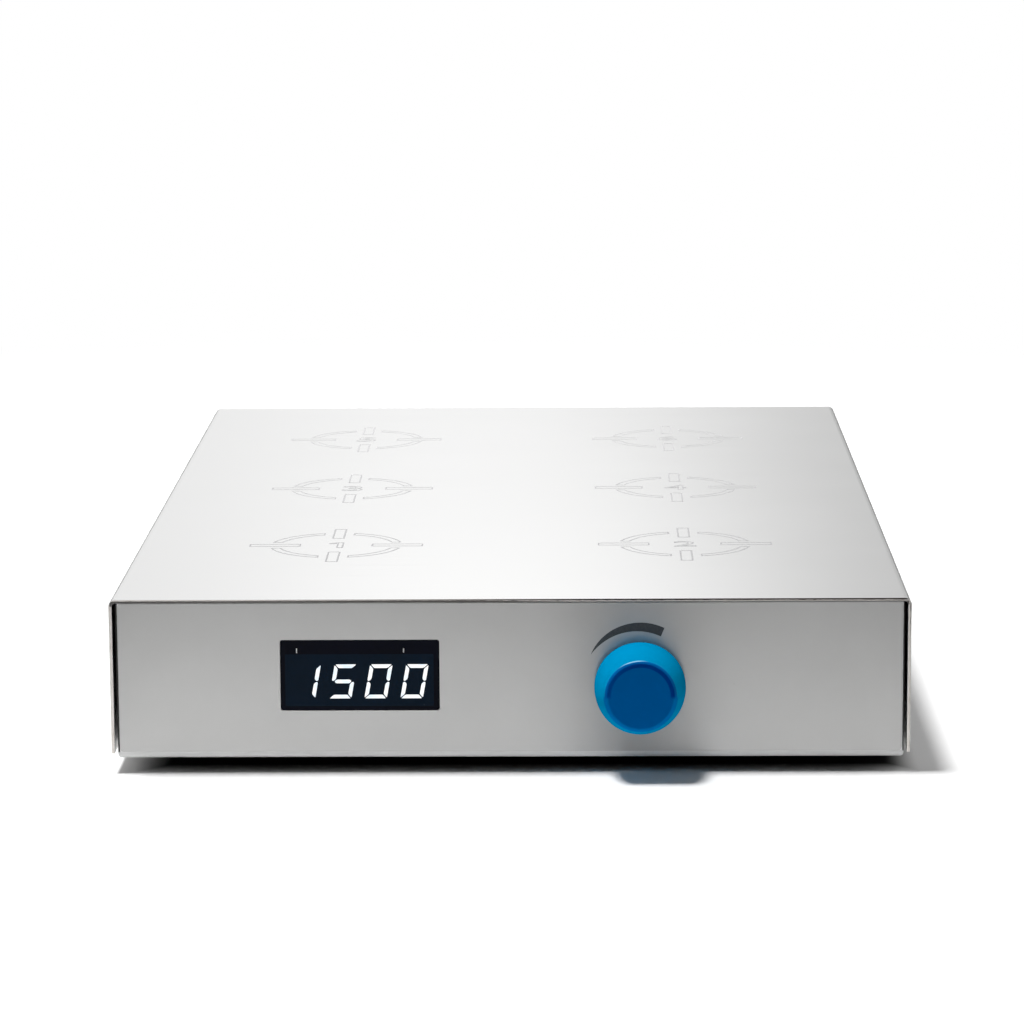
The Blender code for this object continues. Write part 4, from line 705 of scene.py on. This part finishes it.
def make_edge_shading():
    """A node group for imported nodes: smooth, but sharp where two faces meet above the angle."""
    tree = bpy.data.node_groups.new("shade by angle", "GeometryNodeTree")
    for way in ("INPUT", "OUTPUT"):
        tree.interface.new_socket(name="Geometry", in_out=way, socket_type="NodeSocketGeometry")
    entry = tree.nodes.new("NodeGroupInput").outputs[0]
    angle = tree.nodes.new("GeometryNodeInputMeshEdgeAngle").outputs["Unsigned Angle"]
    over = sums("GREATER_THAN", angle, math.radians(CREASE_ANGLE))
    faces = after("GeometryNodeSetShadeSmooth", {"Geometry": entry})[0]
    edges = after(
        "GeometryNodeSetShadeSmooth",
        {"Geometry": faces, "Selection": over, "Shade Smooth": False}, domain="EDGE")[0]
    put(tree, "NodeGroupOutput", {0: edges})
    return tree


def dress_nodes():
    """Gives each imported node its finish, welds its points and shades its edges by their angle."""
    shading = make_edge_shading()
    for name, item in NODES.items():
        finish = next(
            made for starts, made in FINISHES.items() if name.startswith(tuple(starts.split())))
        item.data.materials.clear()
        item.data.materials.append(finish)
        item.modifiers.new("weld", "WELD").merge_threshold = WELD_DISTANCE
        item.modifiers.new("shading", "NODES").node_group = shading
        weigh_normals(item)


# ---- housing

COVER_SHEET, COVER_BEND, CUT_EDGE = 1.2 * MM, 2.4 * MM, 0.35 * MM
CUT_STEPS, BEND_STEPS = 5, 12


def cover_stations():
    """Stations round the U of the cover: up one flange, a quarter bend, the top, and the mirror
    image down the other side.

    A bend's station is centre + R (cos a, sin a).  At the flange ends the outline is drawn in on a
    quarter round, so that the cut edge is eased there too.
    """
    count = CUT_STEPS + 1
    foot_z, foot_inset = (row[:count] for row in rounded_ends(
        COVER_LOW.z, COVER_LOW.z + 10 * MM, CUT_EDGE, CUT_STEPS))
    bend = np.radians(np.linspace(180, 90, BEND_STEPS + 1))
    x = np.r_[np.full(count, -HALF_WIDTH), -HALF_WIDTH + COVER_BEND + COVER_BEND * np.cos(bend)]
    z = np.r_[foot_z, TOP - COVER_BEND + COVER_BEND * np.sin(bend)]
    normal_x = np.r_[np.full(count, -1.0), np.cos(bend)]
    normal_z = np.r_[np.zeros(count), np.sin(bend)]
    inset = np.r_[foot_inset, np.zeros(len(bend))]
    flat = np.zeros_like(x)
    left = np.stack([x, flat, z, normal_x, flat, normal_z], axis=1)
    stations = np.r_[left, left[::-1] * (-1, 1, 1, -1, 1, 1)]
    return stations[:, :3], stations[:, 3:], np.r_[inset, inset[::-1]]


def make_cover():
    """The sheet's section (Y, depth) with eased cut edges, carried round the folded line."""
    section = eased_corners(
        [(FRONT, -COVER_SHEET), (BACK, -COVER_SHEET), (BACK, 0), (FRONT, 0)], CUT_EDGE, 6)
    origins, upward, insets = cover_stations()
    surface = carried(section, origins, (0, 1, 0), upward, insets)
    piece("cover_sheet", surface, COVER_STEEL, "cover_steel", "top_cover")


ROUND_STEPS = 72
FOOT_RADIUS, FOOT_RIM = 9.0, 1.0
FOOT_STEM = [
    (0, 8.5), (2.6, 8.5), (3.0, 8.3), (4.2, 6.5), (3.0, 6.5), (3.0, 4.7), (7.6, 4.7), (8.0, 4.4)]
FOOT_HOLLOW = [(5.5, 0.0), (5.0, 0.5), (0, 0.5)]


def make_feet():
    """Rubber pads with an eased rim and a shallow hollow below, a stem and a barb, all turned."""
    rim = arc_line(FOOT_RIM, 0, -90, 6, FOOT_RADIUS - FOOT_RIM, FOOT_RIM)
    profile = np.r_[FOOT_STEM, rim, FOOT_HOLLOW] * MM
    for number in range(1, 5):
        low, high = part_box(f"foot_{number}")
        x, y, _ = centre(low, high)
        surface = turned(profile, ROUND_STEPS, (x, y, 0.0), (0, 0, 1))
        piece(f"foot_pad_{number}", surface, FOOT_RUBBER, "foot_rubber", f"foot_{number}")


SCREW_HEAD, SCREW_RISE, SCREW_SHANK, SCREW_LENGTH, SEAT_DEPTH = 2.8, 1.75, 1.5, 7, 1.8
SOCKET_RADIUS, SOCKET_FLOOR, SOCKET_RIM = 1.0, 0.75, 0.8


def hexagon_rim(radius, angle):
    """Radius of a hexagon with that inscribed circle, at each angle."""
    turn = (angle + np.pi / 6) % (np.pi / 3) - np.pi / 6
    return radius / np.cos(turn)


def make_cover_screws():
    """Button heads: a dome h (1 - (r / R)^2.4) round a hexagon socket, over a plain shank."""
    angle = np.linspace(0, 2 * np.pi, ROUND_STEPS, endpoint=False)
    socket = hexagon_rim(SOCKET_RADIUS, angle)
    share = np.linspace(0, 1, 9)[:, None] ** 0.8
    dome = socket * (1 - share) + SCREW_HEAD * share
    dome_height = SCREW_RISE * (1 - (dome / SCREW_HEAD) ** 2.4)
    rows = [
        (0, SOCKET_FLOOR), (socket * 0.97, SOCKET_FLOOR), (socket, SOCKET_RIM),
        *zip(dome, dome_height), (SCREW_SHANK, 0), (SCREW_SHANK, -SCREW_LENGTH),
        (0, -SCREW_LENGTH)]
    radius, level = (
        np.array([np.broadcast_to(row[way], ROUND_STEPS) for row in rows]) * MM for way in (0, 1))
    for number in range(1, 5):
        low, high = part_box(f"cover_screw_{number}")
        side = 1 if low.x > 0 else -1
        seat = (high.x if side > 0 else low.x) - side * SEAT_DEPTH * MM
        _, y, z = centre(low, high)
        points = np.stack(
            [seat + side * level, y + radius * np.cos(angle), z + radius * np.sin(angle)], axis=2)
        piece(
            f"side_screw_{number}", (points.reshape(-1, 3), grid_faces(len(radius), ROUND_STEPS)),
            SCREW_STEEL, "screw_steel", f"cover_screw_{number}")


# ---- front

KNOB_BASE, KNOB_FACE, KNOB_RIM, KNOB_HEEL = 15.95, 12.6, 1.5, 0.8
KNOB_DISH, KNOB_TAPER, KNOB_STEPS = 0.12, 2.4, 180
KNOB_MOUTH, KNOB_HOLLOW, KNOB_HUB, KNOB_BORE = 13.15, 9.8, 5.8, 3.3
HOLLOW_WALL, HUB_START, BORE_WALL = 4.6, 4.3, 3


def make_knob():
    """The side falls as r0 - (r0 - r1) t^2.4; a quarter round leads to a face dished as 1 - s^2.
    All in millimetres."""
    length = (KNOB_HIGH.y - KNOB_LOW.y) / MM
    flat = KNOB_FACE - KNOB_RIM
    t = np.linspace(0, 1, 33)[::-1]
    side = np.stack([
        KNOB_BASE - (KNOB_BASE - KNOB_FACE) * t ** KNOB_TAPER,
        KNOB_HEEL + (length - KNOB_RIM - KNOB_HEEL) * t], axis=1)
    nose = arc_line(KNOB_RIM, 90, 8, 10, flat, length - KNOB_RIM)
    s = np.linspace(0, 1, 8)[:-1]
    dish = np.stack([s * flat, length - KNOB_DISH * (1 - s ** 2)], axis=1)
    heel = arc_line(KNOB_HEEL, 0, -90, 5, KNOB_BASE - KNOB_HEEL, KNOB_HEEL)[1:]
    inner = [
        (KNOB_MOUTH, 0), (KNOB_HOLLOW, length - HOLLOW_WALL), (KNOB_HUB, length - HOLLOW_WALL),
        (KNOB_HUB, HUB_START), (KNOB_BORE, HUB_START), (KNOB_BORE, length - BORE_WALL),
        (0, length - BORE_WALL)]
    surface = turned(
        np.r_[dish, nose, side, heel, inner] * MM, KNOB_STEPS, (KNOB_X, KNOB_HIGH.y, KNOB_Z),
        (0, -1, 0))
    piece(
        "knob_shell", surface, KNOB_BLUE, "knob_blue", "knob", body="control_knob",
        crease=KNOB_CREASE)


WEDGE_START, WEDGE_END, WEDGE_STEPS = 146.7, 67.5, 60
WEDGE_INSIDE, WEDGE_DRIFT, WEDGE_LEAST, WEDGE_GROWTH = 20.48, 1.43, 0.04, 3.25


def make_dial_wedge():
    """A printed wedge: inner radius 20.48 - 1.43 s, width 0.04 + 3.25 (1 - (1 - s)^2.2), in mm."""
    s = np.linspace(0, 1, WEDGE_STEPS + 1)
    inside = WEDGE_INSIDE - WEDGE_DRIFT * s
    outside = inside + WEDGE_LEAST + WEDGE_GROWTH * (1 - (1 - s) ** 2.2)
    inner, outer = (
        arc_line(radius * MM, WEDGE_START, WEDGE_END, WEDGE_STEPS, KNOB_X, KNOB_Z)
        for radius in (inside, outside))
    surface = plate(
        np.r_[inner, outer[::-1]], -FILM_FACE - 0.02 * MM, -FILM_FACE + 0.03 * MM, 0.004 * MM)
    piece("dial_wedge", surface, WEDGE_GREY, "front_film")


# the display, in millimetres
BAR_THICKNESS, BAR_GAP, BAR_EASE, HALF_DIGIT = 1.33, 0.26, 0.44, (3.93, 6.1)
DIGIT_BARS = {"0": "abcdef", "1": "bc", "5": "acdfg"}
DIGIT_LEAN = math.tan(math.radians(10.2))
DIGITS_SHOWN, DIGITS_X, DIGITS_DOWN = "1500", (-71.05, -58.37, -45.95, -33.33), 29.35
FIELD_SIZE, FIELD_X, FIELD_DOWN = (52.0, 18.6), -52.6, 28.9
TICK_SIZE, TICKS_X, TICKS_DOWN = (0.4, 1.6), (-74.5, -37.05), 18.3


def segment_shapes():
    """The mitred bars of one digit, in millimetres about its middle."""
    (w, h), t, g = HALF_DIGIT, BAR_THICKNESS, BAR_GAP
    top = [(w - g, h), (-w + g, h), (-w + t + g, h - t), (w - t - g, h - t)]
    upper_left = [
        (-w, h - g), (-w, g), (-w + t / 2, g * 0.6), (-w + t, t / 2 + g), (-w + t, h - t - g)]
    middle = [
        (-w + t / 2 + g, 0), (-w + t + g, -t / 2), (w - t - g, -t / 2), (w - t / 2 - g, 0),
        (w - t - g, t / 2), (-w + t + g, t / 2)]
    upper_right = [(-x, y) for x, y in reversed(upper_left)]
    shapes = {"a": top, "f": upper_left, "g": middle, "b": upper_right}
    for lower, upper in (("d", top), ("e", upper_left), ("c", upper_right)):
        shapes[lower] = [(x, -y) for x, y in reversed(upper)]
    return shapes


def on_film(shapes, back, front, ease):
    """Plates on the film, from shapes (x, height above the cover's top) in millimetres."""
    return joined([
        plate(shape * MM + (0, TOP), -FILM_FACE - back * MM, -FILM_FACE + front * MM, ease * MM)
        for shape in shapes])


def make_display():
    """A smoked field inside the black border, with the lit bars leaning by x + z tan 10.2 degrees,
    and the two ticks above them."""
    field = eased_corners(box_corners(*FIELD_SIZE, FIELD_X, -FIELD_DOWN), 0.4, 4)
    piece("display_field", on_film([field], 0.05, 0.02, 0.005), WINDOW_FIELD, "window_tint")
    bars = []
    for digit, x in zip(DIGITS_SHOWN, DIGITS_X):
        for bar in DIGIT_BARS[digit]:
            across, up = eased_corners(segment_shapes()[bar], BAR_EASE, 4).T
            bars.append(np.stack([x + across + up * DIGIT_LEAN, up - DIGITS_DOWN], axis=1))
    piece("lit_digits", on_film(bars, 0.03, 0.035, 0.006), LIT_SEGMENT, "window_tint")
    ticks = [eased_corners(box_corners(*TICK_SIZE, x, -TICKS_DOWN), 0.08, 2) for x in TICKS_X]
    piece("display_ticks", on_film(ticks, 0.02, 0.03, 0.005), WHITE_INK, "window_tint")


# ---- printed places on the cover

# in millimetres; the print as a whole is shifted and slightly turned on the photographed cover
RING_RADIUS, RING_BAND, BAR_LENGTH, BAR_WIDTH, MARK_GAP = 22.8, 3.1, 18.6, 4.1, 3.6
LINE_WIDTH, LINE_HEIGHT = 0.65, 0.02
PRINT_SHIFT, PRINT_TURN = -1.6, math.radians(0.24)
DIGIT_HEIGHT = 9.8
DIGIT_WIDTHS = {"2": 7.9, "3": 7.6, "4": 8.4, "5": 7.6, "6": 7.8}
NUMBER_ONE = [
    (0.5, -4.9), (2.45, -4.9), (2.45, 4.9), (0.75, 4.9), (-2.45, 3.6), (-2.45, 2.5), (0.5, 3.2)]


def ring_sector(quarter):
    """A quarter of the ring band, cut parallel to the bars on both sides at the gap from them."""
    cut = BAR_WIDTH / 2 + MARK_GAP
    outer, inner = (
        arc_line(r, math.degrees(math.asin(cut / r)), math.degrees(math.acos(cut / r)), 36)
        for r in (RING_RADIUS + RING_BAND / 2, RING_RADIUS - RING_BAND / 2))
    angle = math.radians(90 * quarter)
    turn = np.array([[math.cos(angle), math.sin(angle)], [-math.sin(angle), math.cos(angle)]])
    return np.r_[outer, inner[::-1]] @ turn


def digit_lines(digit):
    """Closed outlines of a number: its bezier pieces sampled, scaled to its width and height, and
    centred.  The 1 is drawn point by point."""
    if digit == "1":
        return [np.array(NUMBER_ONE)]
    text = bpy.data.curves.new(f"number_{digit}", "FONT")
    text.body = digit
    item = new_object(text.name, text)
    bpy.context.view_layer.update()
    shape = item.to_curve(bpy.context.evaluated_depsgraph_get())
    s = np.linspace(0, 1, 7)[:-1, None, None]
    lines = []
    for spline in shape.splines:
        knots = spline.bezier_points
        here = np.array([k.co[:2] for k in knots])
        leaving = np.array([k.handle_right[:2] for k in knots])
        coming = np.roll(np.array([k.handle_left[:2] for k in knots]), -1, axis=0)
        there = np.roll(here, -1, axis=0)
        curve = (
            (1 - s) ** 3 * here + 3 * s * (1 - s) ** 2 * leaving
            + 3 * s ** 2 * (1 - s) * coming + s ** 3 * there)
        line = curve.transpose(1, 0, 2).reshape(-1, 2)
        step = np.linalg.norm(np.roll(line, -1, axis=0) - line, axis=1)
        lines.append(line[step > 1e-4])
    item.to_curve_clear()
    bpy.data.objects.remove(item)
    low = np.min([line.min(axis=0) for line in lines], axis=0)
    high = np.max([line.max(axis=0) for line in lines], axis=0)
    scale = np.array([DIGIT_WIDTHS[digit], DIGIT_HEIGHT]) / (high - low)
    return [(line - (low + high) / 2) * scale for line in lines]


def make_stirring_marks():
    """On each place: four ring sectors, four bars across the ring and a number, all as outlines."""
    shared = [ring_sector(quarter) for quarter in range(4)]
    shared += [box_corners(BAR_LENGTH, BAR_WIDTH, x) for x in (RING_RADIUS, -RING_RADIUS)]
    shared += [box_corners(BAR_WIDTH, BAR_LENGTH, 0, y) for y in (RING_RADIUS, -RING_RADIUS)]
    for number, (low, high) in PLACES.items():
        x, y, _ = centre(low, high)
        middle = np.array([x - PRINT_TURN * y + PRINT_SHIFT * MM, y + PRINT_TURN * x])
        strips = [
            printed_line(
                anticlockwise(line) * MM + middle, LINE_WIDTH * MM,
                TOP - LINE_HEIGHT * MM, TOP + LINE_HEIGHT * MM)
            for line in shared + digit_lines(str(number))]
        piece(f"place_mark_{number}", joined(strips), MARK_GREY, "cover_steel")


# ---- back

BLADE_PLACES = ((-7.0, -1.0), (0.0, 3.0), (7.0, -1.0))
BLADE_WIDTH, BLADE_HEIGHT, BLADE_LENGTH = 2.12 * MM, 4.12 * MM, 14.56 * MM
INLET_DEPTH = 16.0 * MM


def make_inlet_blades():
    """Plated sleeves over the three blades, with eased ends."""
    low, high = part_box("mains_inlet")
    middle_x, _, middle_z = centre(low, high)
    floor = high.y - INLET_DEPTH
    sleeves = []
    for x, z in BLADE_PLACES:
        corners = box_corners(BLADE_WIDTH, BLADE_HEIGHT, -(middle_x + x * MM), middle_z + z * MM)
        sleeves.append(plate(
            eased_corners(corners, 0.3 * MM, 4), floor + 0.02 * MM, floor + BLADE_LENGTH,
            0.45 * MM, "back", 4))
    piece("inlet_blades", joined(sleeves), PIN_STEEL, "spindle_steel")


ROCKER_TILT = math.radians(10)
ROCKER_PIVOT = next(joint for joint in frame["joints"] if joint["name"] == "rocker_tilt")["pos_m"]
# in millimetres
ROCKER_RADIUS, ROCKER_RISE, ROCKER_DISH, ROCKER_CAM, ROCKER_HALF = 8.1, 4.0, 1.6, 4.2, 5.2
PIN_RADIUS, PIN_HALF = 1, 6.35
SIGN_UP, SIGN_HEIGHT, SIGN_SUNK = 4.1, 0.08, 0.03
BAR_SIZE, ZERO_RADIUS, ZERO_LINE = (0.7, 3.4), 1.55, 0.6


def rocker_face(up):
    """The dished face: v = dish + (rise - dish) (u / reach)^2."""
    reach = math.sqrt(ROCKER_RADIUS ** 2 - ROCKER_RISE ** 2)
    return ROCKER_DISH + (ROCKER_RISE - ROCKER_DISH) * (up / reach) ** 2


def tilted(points):
    """From the key's own (x, out, up) in millimetres to the model: turned about the pivot by the
    tilt at rest."""
    x, out, up = points.T * MM
    cos, sin = math.cos(ROCKER_TILT), math.sin(ROCKER_TILT)
    return np.stack([x, out * cos - up * sin, out * sin + up * cos], axis=1) + ROCKER_PIVOT


def make_rocker():
    """A dished key with round ends about its pivot, a cam below and pins, with I and O on it."""
    rise = math.degrees(math.asin(ROCKER_RISE / ROCKER_RADIUS))
    end = arc_line(ROCKER_RADIUS, -rise / 2, rise, 10)
    dish_up = np.linspace(end[-1, 0], -end[-1, 0], 25)[1:-1]
    dish = np.stack([dish_up, rocker_face(dish_up)], axis=1)
    outline = np.r_[end, dish, end[::-1] * (-1, 1), [(0, -ROCKER_CAM)]]
    stations, insets = rounded_ends(-ROCKER_HALF, ROCKER_HALF, 0.3)
    key = carried(outline, stations[:, None] * (1, 0, 0), (0, 0, 1), (0, 1, 0), insets)
    pin = turned(
        [(0, -PIN_HALF), (PIN_RADIUS, -PIN_HALF), (PIN_RADIUS, PIN_HALF), (0, PIN_HALF)], 32,
        (0, 0, 0), (1, 0, 0))
    points, faces = joined([key, pin])
    piece(
        "rocker_cap", (tilted(points), faces), KEY_BLACK, "key_plastic", "rocker_key",
        body="rocker")
    bar = plate(
        eased_corners(box_corners(*BAR_SIZE, 0, SIGN_UP), 0.1, 2), 0, SIGN_HEIGHT, 0.01, "top")
    ring = arc_line(ZERO_RADIUS, 0, 360, 40, 0, -SIGN_UP)[:-1]
    flat, faces = joined([bar, printed_line(ring, ZERO_LINE, 0, SIGN_HEIGHT)])
    x, up, height = flat.T
    raised = np.stack([x, rocker_face(up) + height - SIGN_SUNK, up], axis=1)
    piece("rocker_marks", (tilted(raised), faces), WHITE_INK, "key_plastic", body="rocker")


# ---- studio

TABLE_SIZE, TABLE_DROP = 60, 0.1 * MM
WHITE = (1, 1, 1, 1)
SHADOW_SHIFT = 6 * MM
LAMP_POWER, LAMP_WIDTH = 3.1, 11
LAMP_TO_RIGHT, LAMP_TO_FRONT = 14, 1.5
CAMERA_PLACE = (0.023616, -1.593402, 0.344389)
CAMERA_LENS, CAMERA_SENSOR, CAMERA_NEAR, CAMERA_FAR = 142.49, 36, 0.05, 100
CAMERA_PITCH, CAMERA_TURN, CAMERA_ROLL = (math.radians(a) for a in (10.308, -0.931, -0.354))


def ray_kinds(tree):
    """1 for a ray from the camera or through glass, and 1 for a ray off a glossy surface."""
    path = tree.nodes.new("ShaderNodeLightPath").outputs
    seen = sums("MAXIMUM", path["Is Camera Ray"], path["Is Transmission Ray"])
    return seen, path["Is Glossy Ray"]


def outside_distance(x, y):
    """Distance from the footprint: the length of (|x| - half width, |y| - half depth) above 0."""
    over = [
        sums("MAXIMUM", sums("SUBTRACT", away(way), half), 0.0)
        for way, half in ((x, HALF_WIDTH), (y, -FRONT))]
    return sums("SQRT", sums("ADD", *[product(way, way) for way in over]))


def inside_distance(x, y):
    """Distance inwards from the rim of the footprint, moved to the right as the lamp throws it:
    the smaller of half width - |x| and half depth - |y|."""
    return sums(
        "MINIMUM", sums("SUBTRACT", HALF_WIDTH, away(x, SHADOW_SHIFT)),
        sums("SUBTRACT", -FRONT, away(y)))


def table_white():
    """Near the object the table is lit and keeps the shadow, and has a painted shadow under the
    object, nearly black to the camera; far off it is plain white to the camera and to glass.  What
    it throws back on the object fades with distance, in one way for matt surfaces and in another
    for glossy ones, where it is also darker in front of the knob and at the sides."""
    made = bpy.data.materials.new("table white")
    made.use_nodes = True
    tree = made.node_tree
    tree.nodes.clear()
    place = object_place(tree)
    x, y, _ = apart(place)
    beyond = outside_distance(x, y)
    seen, glossy = ray_kinds(tree)
    matt = product(eased(beyond, 0.08, 0.32, 0.98, 0.24), spread(x, -0.06, 0.16, 1.0, 0.80))
    mirrored = product(
        eased(beyond, 0.205, 0.29, 1.02, 0.12), spread(x, -0.10, 0.12, 0.98, 0.85),
        eased(away(x, KNOB_X), 0.0, 0.036, 0.42),
        spread(away(x), HALF_WIDTH, HALF_WIDTH + 0.06, 1.0, 0.55))
    # painted shadow: to the camera the table darkens to nearly black under the object
    below = eased(inside_distance(x, y), 0.001, 0.014, 0.96, 0.02)
    tone = chosen(seen, below, chosen(glossy, mirrored, matt))
    tone = after("ShaderNodeCombineColor", {0: tone, 1: tone, 2: tone})[0]
    lit = after("ShaderNodeBsdfDiffuse", {"Color": tone})[0]
    white = put(tree, "ShaderNodeEmission", {"Color": WHITE, "Strength": 1.0}).outputs[0]
    reach = vectors("LENGTH", vectors("ADD", place, (0.06, 0.0, 0.0))[0])["Value"]
    far = product(seen, eased(reach, 0.45, 0.9))
    mixed = after("ShaderNodeMixShader", {0: far, 1: lit, 2: white})[0]
    put(tree, "ShaderNodeOutputMaterial", {"Surface": mixed})
    return made


def make_floor():
    """A wide pale table just below the feet."""
    bpy.ops.mesh.primitive_grid_add(x_subdivisions=2, y_subdivisions=2, size=TABLE_SIZE)
    floor = bpy.context.object
    floor.name = "table"
    floor.location = (0, 0, -TABLE_DROP)
    floor.data.materials.append(table_white())


def make_world():
    """White to the camera and to glass.  To gloss it is bright behind and dim in front and low, a
    little brighter on the left, with a pale spot high in the middle.  To matt surfaces it is a soft
    fill, stronger from behind and from both sides."""
    world = bpy.data.worlds.new("studio")
    bpy.context.scene.world = world
    world.use_nodes = True
    tree = world.node_tree
    tree.nodes.clear()
    x, y, z = apart(tree.nodes.new("ShaderNodeTexCoord").outputs["Generated"])
    seen, glossy = ray_kinds(tree)
    behind = sums("MAXIMUM", eased(z, 0.05, 0.25, 0.10, 0.5), eased(y, -0.35, 0.55, 0.10))
    turn = sums("SUBTRACT", x, spread(z, 0.17, 0.21, 0.0, 0.03))
    sides = eased(turn, -0.03, 0.08, 0.9, 0.55)
    spot = product(eased(away(x, -0.015), 0.10, 0.015), eased(z, 0.165, 0.25, 0.0, 0.45))
    gloss = product(behind, sums("ADD", spot, sides))
    fill = product(eased(y, -0.10, 0.40, 0.03, 0.62), eased(away(x), 0.1, 0.7, 0.8, 2.45))
    level = sums("MAXIMUM", chosen(glossy, gloss, fill), seen)
    ground = after("ShaderNodeBackground", {"Color": WHITE, "Strength": level})[0]
    put(tree, "ShaderNodeOutputWorld", {"Surface": ground})


def make_lamp():
    """One broad lamp overhead, a little to the left and behind, that glossy surfaces don't show."""
    lamp = bpy.data.lights.new("overhead", "SUN")
    lamp.energy, lamp.angle = LAMP_POWER, math.radians(LAMP_WIDTH)
    item = new_object("overhead", lamp)
    item.visible_glossy = False
    towards = Vector((
        math.tan(math.radians(LAMP_TO_RIGHT)), -math.tan(math.radians(LAMP_TO_FRONT)), -1.0))
    item.rotation_mode = "QUATERNION"
    item.rotation_quaternion = towards.to_track_quat("-Z", "Y")


def make_camera():
    """A long lens at the photograph's place: 10.3 degrees down, slightly turned and rolled."""
    data = bpy.data.cameras.new("camera")
    data.sensor_width, data.lens = CAMERA_SENSOR, CAMERA_LENS
    data.clip_start, data.clip_end = CAMERA_NEAR, CAMERA_FAR
    camera = new_object("camera", data)
    sin_turn, cos_turn = math.sin(CAMERA_TURN), math.cos(CAMERA_TURN)
    sin_pitch, cos_pitch = math.sin(CAMERA_PITCH), math.cos(CAMERA_PITCH)
    ahead = Vector((sin_turn * cos_pitch, cos_turn * cos_pitch, -sin_pitch))
    right = Vector((cos_turn, -sin_turn, 0))
    up = right.cross(ahead)
    across = right * math.cos(CAMERA_ROLL) + up * math.sin(CAMERA_ROLL)
    over = -right * math.sin(CAMERA_ROLL) + up * math.cos(CAMERA_ROLL)
    camera.matrix_world = Matrix((*zip(across, over, -ahead, CAMERA_PLACE), (0, 0, 0, 1)))
    bpy.context.scene.camera = camera


bpy.context.scene.view_settings.view_transform = "Standard"
make_camera()
make_world()
make_lamp()
make_floor()
dress_nodes()
make_cover()
make_feet()
make_cover_screws()
make_knob()
make_dial_wedge()
make_display()
make_stirring_marks()
make_inlet_blades()
make_rocker()
